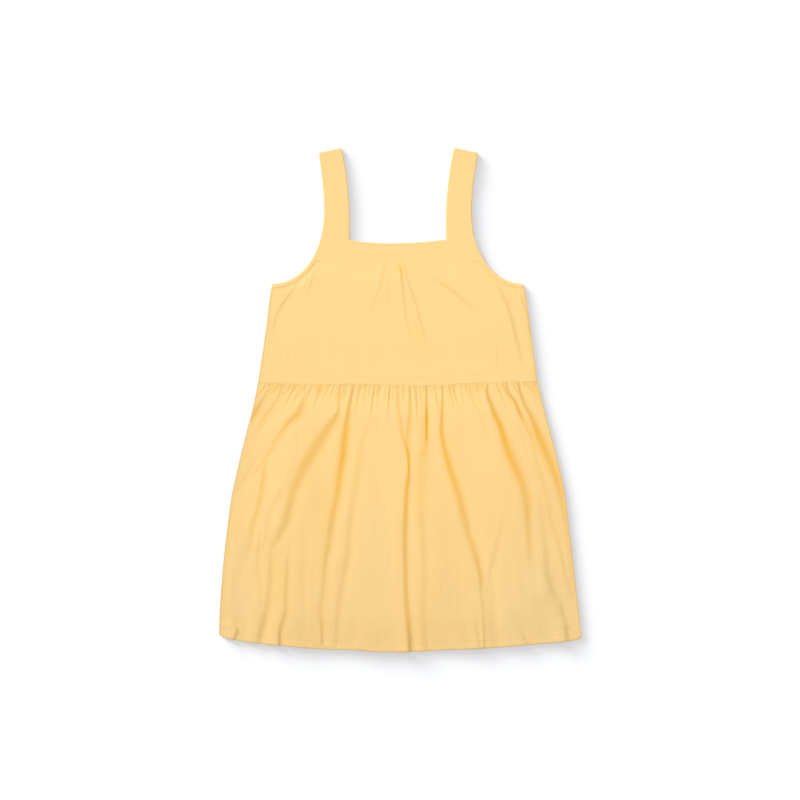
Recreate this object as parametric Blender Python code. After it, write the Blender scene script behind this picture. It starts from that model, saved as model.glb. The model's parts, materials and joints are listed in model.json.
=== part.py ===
"""A sleeveless mini dress of pale yellow cotton, laid flat with its front upwards.

Units are metres and +Z is up. X runs across the dress and Y from the hem to the straps. The back panels lie
on the ground plane and the front panels lie on the back ones. The origin is under the middle of the dress.
Left and right are those of someone who looks down at the laid dress with its straps at the top.

Each cut piece is a closed solid with the thickness of its cloth, made from rows of points that run across it.
Pieces that are sewn together are a small seam gap apart.
"""
import math
from collections import namedtuple

import bmesh
import bpy
from mathutils import Vector

# Cloth and seams
CLOTH = 0.0013  # one layer of cotton in a panel
DOUBLE_CLOTH = 0.0018  # the bands, straps, bindings and the turned hem have more than one layer
SEAM_GAP = 0.0003  # between pieces that are sewn together, and between the back and the front
UPPER_Z = DOUBLE_CLOTH + SEAM_GAP  # underside of whatever lies on a piece of double cloth
SIDE_SEAM_Z = CLOTH + SEAM_GAP  # underside of a front panel where it meets the back one

# Outline of the laid dress. Widths are measured from its own centre line.
CENTRE_LINE_X = -0.004  # the hem lies a little further to the right than the bodice
TOP_Y = 0.4415  # fold of the straps
HEM_Y = -0.4415  # lowest point of the hem, at its middle
HEM_RISE = 0.0254  # by which the hem is higher at the side seams
HEM_TURN = 0.0120  # height of the turned and stitched hem
WAIST_Y = 0.0245  # seam of the skirt to the waistband, at its middle
WAIST_RISE = 0.0065
WAIST_HALF = 0.2446
WAISTBAND_HEIGHT = 0.0280
UNDERARM_Y = 0.2030
UNDERARM_HALF = 0.2202
NECKLINE_Y = 0.2741
NECKLINE_RISE = 0.0066
NECKLINE_HALF = 0.0849
NECKBAND_SEAM_Y = 0.2375  # lower seam of the neckband, at its middle
NECKBAND_SEAM_RISE = 0.0062
BINDING_WIDTH = 0.0066

# Each armhole is one curve from the strap's outer edge down to the underarm
STRAP_END = (0.1334, 0.2865)
ARMHOLE_CONTROLS = (STRAP_END, (0.1409, 0.2555), (0.1663, 0.2039), (UNDERARM_HALF, UNDERARM_Y))
BAND_END_SHARE = 0.40  # this much of the curve is the end of the neckband, and the binding edges the rest

# Edges of a strap, by how far along it from its seam to the fold on the shoulder
StrapRow = namedtuple("StrapRow", "along outer_half outer_y inner_half inner_y")
STRAP_ROWS = (
    StrapRow(0.00, *STRAP_END, NECKLINE_HALF, NECKLINE_Y + NECKLINE_RISE),
    StrapRow(0.20, 0.1293, 0.3170, 0.0844, 0.3160),
    StrapRow(0.42, 0.1290, 0.3500, 0.0858, 0.3505),
    StrapRow(0.64, 0.1318, 0.3840, 0.0893, 0.3865),
    StrapRow(0.82, 0.1349, 0.4095, 0.0933, 0.4145),
    StrapRow(1.00, 0.1379, 0.4328, 0.0989, TOP_Y),
)

# Side seams of the skirt, by the drop below the waist seam
SideRow = namedtuple("SideRow", "drop left_half right_half")
SKIRT_SIDES = (
    SideRow(0.000, WAIST_HALF, WAIST_HALF),
    SideRow(0.066, 0.2599, 0.2605),
    SideRow(0.171, 0.2851, 0.2875),
    SideRow(0.276, 0.3003, 0.3017),
    SideRow(0.381, 0.3099, 0.3132),
    SideRow(0.447, 0.3120, 0.3200),
)

# Folds are furrows between soft puffs. Each runs through three points, given by the distance from the centre
# line and the drop below the seam that the panel hangs from.
Fold = namedtuple("Fold", "top_x top_drop mid_x mid_drop end_x end_drop width depth")
SKIRT_FOLDS = (
    Fold(0.019, 0.004, 0.009, 0.262, 0.018, 0.470, 0.0080, 0.0052),
    Fold(0.050, 0.004, 0.037, 0.210, 0.041, 0.450, 0.0075, 0.0034),
    Fold(0.077, 0.004, 0.113, 0.210, 0.152, 0.470, 0.0090, 0.0052),
    Fold(0.157, 0.002, 0.204, 0.130, 0.231, 0.330, 0.0090, 0.0048),
    Fold(0.190, 0.002, 0.236, 0.110, 0.301, 0.345, 0.0075, 0.0030),
    Fold(0.210, 0.002, 0.262, 0.115, 0.306, 0.275, 0.0085, 0.0045),
    Fold(0.190, 0.210, 0.169, 0.292, 0.161, 0.400, 0.0105, 0.0022),
    Fold(-0.101, 0.002, -0.150, 0.118, -0.219, 0.290, 0.0090, 0.0050),
    Fold(-0.080, 0.004, -0.109, 0.180, -0.133, 0.460, 0.0090, 0.0048),
    Fold(-0.064, 0.080, -0.085, 0.240, -0.111, 0.450, 0.0095, 0.0024),
    Fold(-0.161, 0.002, -0.197, 0.076, -0.254, 0.162, 0.0075, 0.0036),
    Fold(-0.177, 0.070, -0.224, 0.210, -0.238, 0.445, 0.0105, 0.0034),
    Fold(-0.205, 0.001, -0.234, 0.068, -0.277, 0.175, 0.0075, 0.0030),
    Fold(-0.185, 0.245, -0.197, 0.357, -0.205, 0.460, 0.0090, 0.0034),
)
BACK_SKIRT_FOLDS = (
    Fold(-0.176, 0.004, -0.203, 0.200, -0.222, 0.455, 0.0120, 0.0012),
    Fold(-0.086, 0.004, -0.094, 0.220, -0.107, 0.465, 0.0120, 0.0012),
    Fold(0.012, 0.004, 0.008, 0.230, 0.011, 0.470, 0.0120, 0.0012),
    Fold(0.093, 0.004, 0.107, 0.220, 0.118, 0.465, 0.0120, 0.0012),
    Fold(0.171, 0.004, 0.208, 0.200, 0.229, 0.455, 0.0120, 0.0012),
)
BODICE_FOLDS = (
    Fold(0.004, 0.006, 0.008, 0.050, 0.013, 0.110, 0.0060, 0.0020),
    Fold(0.015, 0.004, 0.025, 0.074, 0.053, 0.166, 0.0065, 0.0022),
    Fold(-0.032, 0.004, -0.047, 0.048, -0.054, 0.100, 0.0065, 0.0016),
    Fold(0.036, 0.012, 0.082, 0.042, 0.132, 0.072, 0.0070, 0.0014),
    Fold(-0.180, 0.044, -0.202, 0.074, -0.221, 0.104, 0.0060, 0.0018),
    Fold(0.170, 0.040, 0.196, 0.092, 0.220, 0.172, 0.0060, 0.0020),
)
RUNS_OUT_AT_HEM = 0.440  # a fold that gets this far down stays open at the hem

# Heights above the lowest place that a front panel can lie
FRONT_SKIRT_RISE = 0.0012  # room under the front skirt for the relief of the back one
SKIRT_PUFF = 0.0058
BODICE_PUFF = 0.0026
WAIST_GATHER_HEIGHT = 0.0022
NECK_GATHER_HEIGHT = 0.0016
BACK_RELIEF = 0.0012  # most by which the back skirt stands off the ground
SIDE_ROLL = 0.012  # strip beside a side seam in which a front panel comes down to the back one

# Gathers
WAIST_GATHERS = 34
NECK_GATHERS = 8
NECK_GATHER_MIDDLE = 0.007
NECK_GATHER_HALF = 0.037

# Resolution of the pieces
SKIRT_COLUMNS = 112
BACK_SKIRT_COLUMNS = 48
BODICE_COLUMNS = 36
BACK_BODICE_COLUMNS = 16
WAISTBAND_COLUMNS = 28
STRAP_STATIONS = 11
ARMHOLE_STATIONS = 8
TURN_STEPS = 5  # steps of the half turn where a strap or a binding passes from back to front

YELLOW = (0.90, 0.62, 0.26, 1.0)


def clamp(value, low=0.0, high=1.0):
    return max(low, min(high, value))


def mix(a, b, share):
    return a + (b - a) * share


def ease(share):
    """0 up to 0, 1 from 1, and a smooth S between them."""
    share = clamp(share)
    return share * share * (3 - 2 * share)


def smooth_table(rows, position, column):
    """A column's value on a smooth curve through the rows of a table. Its first column holds the positions."""
    key = rows[0]._fields[0]
    top = len(rows) - 1
    i = 0
    while i < top - 1 and getattr(rows[i + 1], key) < position:
        i += 1
    near = [rows[int(clamp(k, 0, top))] for k in range(i - 1, i + 3)]
    x0, x1, x2, x3 = (getattr(row, key) for row in near)
    y0, y1, y2, y3 = (getattr(row, column) for row in near)
    share = (position - x1) / (x2 - x1)
    slope_1 = (y2 - y0) * (x2 - x1) / (x2 - x0)
    slope_2 = (y3 - y1) * (x2 - x1) / (x3 - x1)
    bend_1 = share * (1 - share) ** 2 * slope_1
    bend_2 = share * share * (1 - share) * slope_2
    return mix(y1, y2, ease(share)) + bend_1 - bend_2


def armhole(share, inset=0.0):
    """(half width, y) on the armhole's curve, or inset into the cloth from it."""

    def on_curve(at):
        a, b, c, d = (Vector(control) for control in ARMHOLE_CONTROLS)
        rest = 1 - at
        return a * rest**3 + b * (3 * rest**2 * at) + c * (3 * rest * at**2) + d * at**3

    along = (on_curve(share + 0.001) - on_curve(share - 0.001)).normalized()
    return on_curve(share) + Vector((along.y, -along.x)) * inset


def waist_y(u):
    """The waist seam. u is -1 at the left side seam and 1 at the right one."""
    return WAIST_Y + WAIST_RISE * u * u


def hem_y(u):
    return HEM_Y + HEM_RISE * u * u


def neckband_seam_y(half):
    return NECKBAND_SEAM_Y + NECKBAND_SEAM_RISE * (half / armhole(BAND_END_SHARE).x) ** 2


def bodice_half(y, _u=0.0):
    return mix(UNDERARM_HALF, WAIST_HALF, (UNDERARM_Y - y) / (UNDERARM_Y - waist_y(1)))


def skirt_half(y, u):
    drop = clamp(waist_y(1) - y, 0.0, SKIRT_SIDES[-1].drop)
    return smooth_table(SKIRT_SIDES, drop, "left_half" if u < 0 else "right_half")


def fold_x(fold, drop):
    """The fold's distance from the centre line at a drop, on a parabola through its three points."""
    a, b, c = fold.top_drop, fold.mid_drop, fold.end_drop
    return (
        fold.top_x * (drop - b) * (drop - c) / ((a - b) * (a - c))
        + fold.mid_x * (drop - a) * (drop - c) / ((b - a) * (b - c))
        + fold.end_x * (drop - a) * (drop - b) / ((c - a) * (c - b))
    )


def fold_depth(fold, x, drop):
    """How deep a fold is at a place. It starts softly, and ends softly unless it runs out at the hem."""
    share = (drop - fold.top_drop) / (fold.end_drop - fold.top_drop)
    strength = ease(share / 0.12)
    if fold.end_drop < RUNS_OUT_AT_HEM:
        strength *= ease((1 - share) / 0.25)
    spread = fold.width * mix(0.75, 1.25, clamp(share))
    across = (x - fold_x(fold, clamp(drop, fold.top_drop, fold.end_drop))) / spread
    return fold.depth * strength * math.exp(-across * across)


def gathers(u, count, drop, length):
    """Uneven gathers across a seam, from 0 to 1, that die away down a length of the panel."""
    turns = count * (u + 1) / 2 + 0.33 * math.sin(7.3 * u + 1.0) + 0.21 * math.sin(16.9 * u + 2.2)
    uneven = 0.75 + 0.25 * math.sin(11.0 * u + 0.6)
    strength = mix(0.45, 1.0, ease(drop / 0.012)) * (1 - ease((drop - 0.012) / length))
    return strength * uneven * 0.5 * (1 - math.cos(2 * math.pi * turns))


def front_skirt_z(u, x, y, half):
    """Height of the front skirt's underside."""
    drop = waist_y(u) - y
    side = half - abs(x)
    in_hem = y < hem_y(u) + HEM_TURN - 0.0004
    inner_z = UPPER_Z + FRONT_SKIRT_RISE * ease(drop / 0.020)
    base = mix(UPPER_Z if in_hem else SIDE_SEAM_Z, inner_z, ease(side / SIDE_ROLL))
    puff = SKIRT_PUFF * mix(0.10, 1.0, ease(drop / 0.060)) * mix(0.75, 1.0, math.cos(2.6 * u) ** 2)
    relief = puff + WAIST_GATHER_HEIGHT * gathers(u, WAIST_GATHERS, drop, 0.060)
    relief -= sum(fold_depth(fold, x, drop) for fold in SKIRT_FOLDS)
    return base + max(0.0, relief) * ease(side / (2.5 * SIDE_ROLL))


def back_skirt_z(u, x, y, half):
    """Height of the back skirt's underside, which is flat on the ground apart from gathers and low folds."""
    drop = waist_y(u) - y
    side = half - abs(x)
    most = mix(0.0005, BACK_RELIEF, ease((drop - 0.004) / 0.020))
    relief = BACK_RELIEF * gathers(u, WAIST_GATHERS / 2, drop, 0.050)
    relief += sum(fold_depth(fold, x, drop) for fold in BACK_SKIRT_FOLDS)
    return min(most, relief) * ease((side - SIDE_ROLL) / (2 * SIDE_ROLL))


def front_bodice_z(u, x, y, half):
    """Height of the front bodice's underside."""
    drop = NECKBAND_SEAM_Y - y
    above_waistband = y - (WAIST_Y + WAISTBAND_HEIGHT)
    side = half - abs(x)
    base = mix(SIDE_SEAM_Z, UPPER_Z, ease(side / SIDE_ROLL))
    relief = BODICE_PUFF * ease((drop + 0.004) / 0.050) * ease(above_waistband / 0.050)
    neck_u = (x - NECK_GATHER_MIDDLE) / NECK_GATHER_HALF
    if abs(neck_u) < 1:
        relief += NECK_GATHER_HEIGHT * gathers(neck_u, NECK_GATHERS, drop, 0.050)
    relief -= sum(fold_depth(fold, x, drop) for fold in BODICE_FOLDS)
    return base + max(0.0, relief) * ease(side / (2.5 * SIDE_ROLL))


def flat_on_ground(_u, _x, _y, _half):
    return 0.0


def cotton():
    """Pale yellow cotton, matt, shared by every piece."""
    found = bpy.data.materials.get("yellow_cotton")
    if found:
        return found
    material = bpy.data.materials.new("yellow_cotton")
    material.use_nodes = True
    shader = material.node_tree.nodes["Principled BSDF"]
    shader.inputs["Base Color"].default_value = YELLOW
    shader.inputs["Roughness"].default_value = 0.85
    shader.inputs["Metallic"].default_value = 0.0
    return material


def add_piece(name, bm):
    """The piece's object, on the centre line of the dress."""
    bmesh.ops.recalc_face_normals(bm, faces=bm.faces[:])
    mesh = bpy.data.meshes.new(name)
    bm.to_mesh(mesh)
    bm.free()
    mesh.shade_smooth()
    mesh.set_sharp_from_angle(angle=math.radians(50))
    mesh.materials.append(cotton())
    piece = bpy.data.objects.new(name, mesh)
    piece.location.x = CENTRE_LINE_X
    bpy.context.scene.collection.objects.link(piece)


def add_panel(name, rows, thickness):
    """A wall over rows of points of its underside. thickness gives its height above one of them."""
    bm = bmesh.new()
    grid = [[bm.verts.new(point) for point in row] for row in rows]
    for upper, lower in zip(grid, grid[1:]):
        for i in range(len(upper) - 1):
            bm.faces.new((lower[i], lower[i + 1], upper[i + 1], upper[i]))
    bmesh.ops.triangulate(bm, faces=bm.faces[:])
    raised = bmesh.ops.extrude_face_region(bm, geom=bm.faces[:])["geom"]
    for vert in raised:
        if isinstance(vert, bmesh.types.BMVert):
            vert.co.z += thickness(vert.co)
    add_piece(name, bm)


def panel_row(columns, y_of, half_of, z_of):
    """One row of underside points from the left edge to the right one."""
    row = []
    for i in range(columns + 1):
        u = 2 * i / columns - 1
        y = y_of(u)
        half = half_of(y, u)
        row.append(Vector((u * half, y, z_of(u, u * half, y, half))))
    return row


def add_skirt_panel(name, columns, gathered_drops, lower_rows, z_of):
    """A skirt panel, with rows at the drops where its gathers are and even ones from there to the turned hem."""

    def upper_y(drop):
        return lambda u: waist_y(u) - SEAM_GAP - drop

    def lower_y(share):
        return lambda u: mix(upper_y(gathered_drops[-1])(u), hem_y(u) + HEM_TURN, share)

    def hem_row_y(height):
        return lambda u: hem_y(u) + height

    ways = [upper_y(drop) for drop in gathered_drops]
    ways += [lower_y((k + 1) / lower_rows) for k in range(lower_rows)]
    ways += [hem_row_y(HEM_TURN - 0.0006), hem_row_y(0.0)]

    def thickness(point):
        u = point.x / skirt_half(point.y, point.x)
        return DOUBLE_CLOTH if point.y < hem_y(u) + HEM_TURN - 0.0004 else CLOTH

    add_panel(name, [panel_row(columns, y_of, skirt_half, z_of) for y_of in ways], thickness)


def share_at_band(inset):
    """Where on the armhole's curve, or inset from it, the seam of the neckband crosses it."""
    low, high = 0.0, 1.0
    for _ in range(40):
        middle = (low + high) / 2
        point = armhole(middle, inset)
        if point.y > neckband_seam_y(point.x) - SEAM_GAP / 2:
            low = middle
        else:
            high = middle
    return low


def armhole_edge(inset):
    """Points along the armhole from the seam of the neckband to the side seam."""
    start = share_at_band(inset)
    return [armhole(mix(start, 1.0, k / ARMHOLE_STATIONS), inset) for k in range(ARMHOLE_STATIONS + 1)]


def add_bodice_panel(name, columns, side_rows, z_of):
    """A bodice panel between the waistband and the neckband, inside the bindings of its armholes."""
    curve = armhole_edge(BINDING_WIDTH + SEAM_GAP)
    low_y = waist_y(1) + WAISTBAND_HEIGHT + SEAM_GAP
    heights = [mix(low_y, curve[-1].y, k / side_rows) for k in range(side_rows + 1)]
    edge = [(bodice_half(y), y) for y in heights] + [tuple(point) for point in reversed(curve[:-1])]
    low_middle = WAIST_Y + WAISTBAND_HEIGHT + SEAM_GAP
    high_middle = NECKBAND_SEAM_Y - SEAM_GAP / 2
    rows = []
    for k, (half, y) in enumerate(edge):
        middle = mix(low_middle, high_middle, k / (len(edge) - 1))
        rows.append(
            panel_row(
                columns,
                lambda u, middle=middle, y=y: mix(middle, y, u * u),
                lambda _y, _u, half=half: half,
                z_of,
            )
        )
    add_panel(name, rows[::-1], lambda point: CLOTH)


def add_neckband(name, z):
    """The band under the neckline. The straps are sewn to its top and its ends edge the armholes."""
    rows = []
    for share in (0.0, 1 / 3, 2 / 3, 1.0):
        end = armhole(BAND_END_SHARE * share)
        down = (STRAP_END[1] - end.y) / (STRAP_END[1] - armhole(BAND_END_SHARE).y)
        right = []
        for k in range(7):
            half = NECKLINE_HALF * k / 6
            top = NECKLINE_Y + NECKLINE_RISE * (k / 6) ** 2
            right.append(Vector((half, mix(top, neckband_seam_y(half) + SEAM_GAP / 2, down), z)))
        for k in (1, 2, 3):
            half = mix(NECKLINE_HALF, end.x, k / 3)
            top = mix(NECKLINE_Y + NECKLINE_RISE, STRAP_END[1], k / 3)
            right.append(Vector((half, mix(top, neckband_seam_y(half) + SEAM_GAP / 2, down), z)))
        left = [Vector((-point.x, point.y, z)) for point in right[:0:-1]]
        rows.append(left + right)
    add_panel(name, rows, lambda point: DOUBLE_CLOTH)


def add_waistband(name, z):
    """The flat band between the bodice and the skirt."""
    ways = [lambda u, height=height: waist_y(u) + height for height in (WAISTBAND_HEIGHT, 0.0)]
    rows = [panel_row(WAISTBAND_COLUMNS, y_of, bodice_half, lambda *_place: z) for y_of in ways]
    add_panel(name, rows, lambda point: DOUBLE_CLOTH)


def add_folded_strip(name, path, ahead, width_steps):
    """A strip of double cloth that runs along a path on the ground, turns over and comes back on itself.

    The path holds (outer, inner) points of the strip's edges, and ahead is its direction at the turn.
    """
    turn_radius = DOUBLE_CLOTH + SEAM_GAP / 2
    outer, inner = path[-1]
    path = path[:-1] + [(outer - ahead * turn_radius, inner - ahead * turn_radius)]
    axis = Vector((0, 0, turn_radius))
    turn = []
    for k in range(1, TURN_STEPS):
        angle = math.pi * k / TURN_STEPS
        turn.append(Vector((0, 0, math.cos(angle))) - ahead * math.sin(angle))
    below, above = Vector((0, 0, 1)), Vector((0, 0, -1))
    stations = [(point_pair, below) for point_pair in path]
    stations += [(path[-1], up) for up in turn]
    stations += [(point_pair, above) for point_pair in reversed(path)]

    bm = bmesh.new()
    rings = []
    for (outer, inner), up in stations:
        outside = [outer.lerp(inner, k / width_steps) + axis - up * turn_radius for k in range(width_steps + 1)]
        inside = [point + up * DOUBLE_CLOTH for point in reversed(outside)]
        rings.append([bm.verts.new(point) for point in outside + inside])
    for ring, after in zip(rings, rings[1:]):
        for k in range(len(ring)):
            bm.faces.new((ring[k - 1], ring[k], after[k], after[k - 1]))
    bm.faces.new(rings[0])
    bm.faces.new(rings[-1])
    bmesh.ops.triangulate(bm, faces=bm.faces[:])
    add_piece(name, bm)


def add_strap(name, side):
    """A strap from the back neckband, over the shoulder, to the front neckband."""
    path = []
    for k in range(STRAP_STATIONS + 1):
        along = k / STRAP_STATIONS
        outer_half, outer_y, inner_half, inner_y = (
            smooth_table(STRAP_ROWS, along, column) for column in StrapRow._fields[1:]
        )
        lift = SEAM_GAP if k == 0 else 0.0
        path.append((Vector((side * outer_half, outer_y + lift, 0)), Vector((side * inner_half, inner_y + lift, 0))))
    outer, inner = path[-1]
    across = (inner - outer).normalized()
    ahead = Vector((across.y, -across.x, 0)) * side
    add_folded_strip(name, path, ahead, 2)


def add_armhole_binding(name, side):
    """The bias strip round an armhole. It passes from the back to the front at the underarm."""
    edges = zip(armhole_edge(0.0), armhole_edge(BINDING_WIDTH))
    path = [
        (Vector((side * outer.x, outer.y, 0)), Vector((side * inner.x, inner.y, 0))) for outer, inner in edges
    ]
    add_folded_strip(name, path, Vector((side, 0, 0)), 1)


def build():
    for leftover in list(bpy.data.objects):
        bpy.data.objects.remove(leftover)
    add_skirt_panel("back_skirt", BACK_SKIRT_COLUMNS, (0.0, 0.008, 0.022, 0.048), 7, back_skirt_z)
    add_skirt_panel("front_skirt", SKIRT_COLUMNS, (0.0, 0.005, 0.012, 0.024, 0.042, 0.066), 9, front_skirt_z)
    add_bodice_panel("back_bodice", BACK_BODICE_COLUMNS, 3, flat_on_ground)
    add_bodice_panel("front_bodice", BODICE_COLUMNS, 6, front_bodice_z)
    add_waistband("back_waistband", 0.0)
    add_waistband("front_waistband", UPPER_Z)
    add_neckband("back_neckband", 0.0)
    add_neckband("front_neckband", UPPER_Z)
    for side_name, side in (("left", -1), ("right", 1)):
        add_strap(f"{side_name}_strap", side)
        add_armhole_binding(f"{side_name}_armhole_binding", side)


build()
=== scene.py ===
"""The looks of a pale yellow cotton mini dress that lies flat with its front upwards.

Lengths are in millimetres unless a name says otherwise. X runs across the dress and Y towards its straps,
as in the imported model. Left and right are those of someone who looks down at the dress.
"""
import json
import math
from collections import namedtuple

import bpy
import numpy as np
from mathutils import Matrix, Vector

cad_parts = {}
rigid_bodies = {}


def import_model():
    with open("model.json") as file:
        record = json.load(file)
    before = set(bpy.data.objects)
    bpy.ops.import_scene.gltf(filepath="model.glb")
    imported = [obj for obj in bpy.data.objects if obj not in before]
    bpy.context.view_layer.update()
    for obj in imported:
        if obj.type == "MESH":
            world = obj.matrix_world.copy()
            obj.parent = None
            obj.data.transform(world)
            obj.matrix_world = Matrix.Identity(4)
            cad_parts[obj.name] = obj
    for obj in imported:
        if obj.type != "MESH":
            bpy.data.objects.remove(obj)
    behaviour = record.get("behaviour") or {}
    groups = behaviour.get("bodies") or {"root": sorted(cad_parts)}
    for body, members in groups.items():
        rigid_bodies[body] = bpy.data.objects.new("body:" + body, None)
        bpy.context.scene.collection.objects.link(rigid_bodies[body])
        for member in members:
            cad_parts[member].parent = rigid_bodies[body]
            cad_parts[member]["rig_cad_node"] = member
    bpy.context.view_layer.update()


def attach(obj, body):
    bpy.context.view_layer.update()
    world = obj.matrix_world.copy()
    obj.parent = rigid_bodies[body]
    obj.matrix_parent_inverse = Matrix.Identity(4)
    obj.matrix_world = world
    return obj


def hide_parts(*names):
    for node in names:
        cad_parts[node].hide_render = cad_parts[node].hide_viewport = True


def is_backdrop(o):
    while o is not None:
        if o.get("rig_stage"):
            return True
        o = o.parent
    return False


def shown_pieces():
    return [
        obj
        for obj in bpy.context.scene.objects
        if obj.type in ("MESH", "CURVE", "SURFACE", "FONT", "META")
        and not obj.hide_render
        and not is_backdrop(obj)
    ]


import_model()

MM = 0.001

# Outline of the laid dress
CENTRE_X = -4.0  # centre line of the bodice and the bands
HEM_HALF = 315.5  # half width of the hem's straight part
SideRow = namedtuple("SideRow", "y left right")
WAIST_ROW = SideRow(31, -248.6, 240.8)
SKIRT_SIDES = (
    SideRow(-416, -316.8, 317.4),
    SideRow(-376, -315.8, 313.6),
    SideRow(-324, -312.6, 307.4),
    SideRow(-271, -307.8, 301.4),
    SideRow(-219, -301.8, 295.4),
    SideRow(-166, -294.5, 288.9),
    SideRow(-114, -282.9, 277.8),
    SideRow(-61, -270.0, 264.2),
    SideRow(-9, -256.6, 250.5),
    WAIST_ROW,
)
BODICE_SIDES = (
    WAIST_ROW,
    SideRow(70, -242.6, 235.6),
    SideRow(122, -234.8, 228.6),
    SideRow(175, -228.4, 221.6),
    SideRow(203, -223.8, 216.6),
)
WAIST_SEAM = (
    (-250, 30.4), (-162, 26.8), (-79, 27.4), (-11, 25.8), (34, 24.6), (86, 27.0), (190, 31.4), (243, 32.0),
)
WAISTBAND_HEIGHT = 28.0
BAND_TOP_SPAN = (-240.0, 232.0)  # where the waistband's top seam meets the side seams
HEM_EDGE = (
    (-317, -409), (-312, -413), (-301, -417), (-280, -421.3), (-238, -426.8), (-196, -430.8),
    (-154, -434.8), (-112, -436.8), (-70, -438.0), (-49, -440.0), (-7, -440.8), (35, -439.8),
    (77, -437.6), (119, -435.9), (161, -433.6), (203, -430.3), (245, -426.8), (287, -422.4),
    (306, -419.8), (313, -417.5), (317, -414),
)
NECKLINE = (
    (-90, 280.8), (-70, 277.0), (-49, 275.2), (-28, 274.2), (-7, 274.2), (14, 274.8), (35, 276.1),
    (56, 277.8), (82, 280.9),
)
NECKBAND_SEAM_Y = 237.5
NECKBAND_SEAM_RISE = 6.2  # the seam is this much higher where it meets the armholes
NECKBAND_SEAM_HALF = 151.7
# Half widths from the centre line, and y
STRAP_OUTER_FOOT = (133.4, 286.5)
STRAP_INNER_FOOT = (84.9, 280.7)
UNDERARM = (220.2, 203.0)
ARMHOLE_CONTROLS = (STRAP_OUTER_FOOT, (140.9, 255.5), (166.3, 203.9), UNDERARM)
BAND_END_SHARE = 0.40  # this much of the armhole's curve is the end of the neckband
BINDING_WIDTH = 6.6
IN_BINDING = 3.6  # how far the bodice goes into its binding
StrapRow = namedtuple("StrapRow", "along outer_half outer_y inner_half inner_y right_wider")
STRAP_ROWS = (
    StrapRow(0.00, *STRAP_OUTER_FOOT, *STRAP_INNER_FOOT, 0),
    StrapRow(0.20, 129.3, 317.0, 84.4, 316.0, 0.6),
    StrapRow(0.42, 129.0, 350.0, 85.8, 350.5, 0.8),
    StrapRow(0.64, 131.8, 384.0, 89.3, 386.5, 1.2),
    StrapRow(0.82, 134.9, 409.5, 93.3, 414.5, 2.2),
    StrapRow(1.00, 137.9, 432.8, 98.9, 441.5, 2.4),
)

# Layers, by height above the ground
CLOTH = 0.6
TURNED_CLOTH = 1.2  # hem and bands, which are folded double
BACK_TOP = 2.4  # nothing of the back skirt stands higher
FRONT_FLOOR = 3.1  # lowest place of the front's outer face, inside its seams and edges
SKIRT_HEIGHT = 7.2
BODICE_HEIGHT = 4.7
BAND_HEIGHT = 3.8
STRIP_THICKNESS = 1.75  # a strap or a binding, which is folded double
STRIP_LEG = 0.55  # each side of a binding
BOUND_TOP = 3.12  # where the bodice goes in between the two sides of its binding
BOUND_BOTTOM = 0.58
SEAM_TOP = 3.45  # bottom of the groove at the seam of the skirt to its waistband
NECK_SEAM_TOP = 3.66  # bottom of the shallower groove under the neckband
SIDE_SEAM_TOP = 2.8  # the front's outer face at the side seams
SIDE_SEAM_THICKNESS = 2.1  # the allowances that the front turns in there, down to the back
SIDE_ROLL = 2.4  # width over which the front rounds down to the side seams

# Sewing
HEM_STITCH_ABOVE = 11.5
WAIST_STITCH_ABOVE = 13.0
NECK_STITCH_BELOW = 5.0
NECK_STITCH_HALF = 84.5  # the neckline's stitches end here
STITCH_LENGTH = 2.6
STITCH_GAP = 0.7
THREAD = 0.36
STITCH_ARCH = (-0.22, 0.10, 0.16, 0.10, -0.22)  # heights along a stitch, which sinks in at both ends

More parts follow.
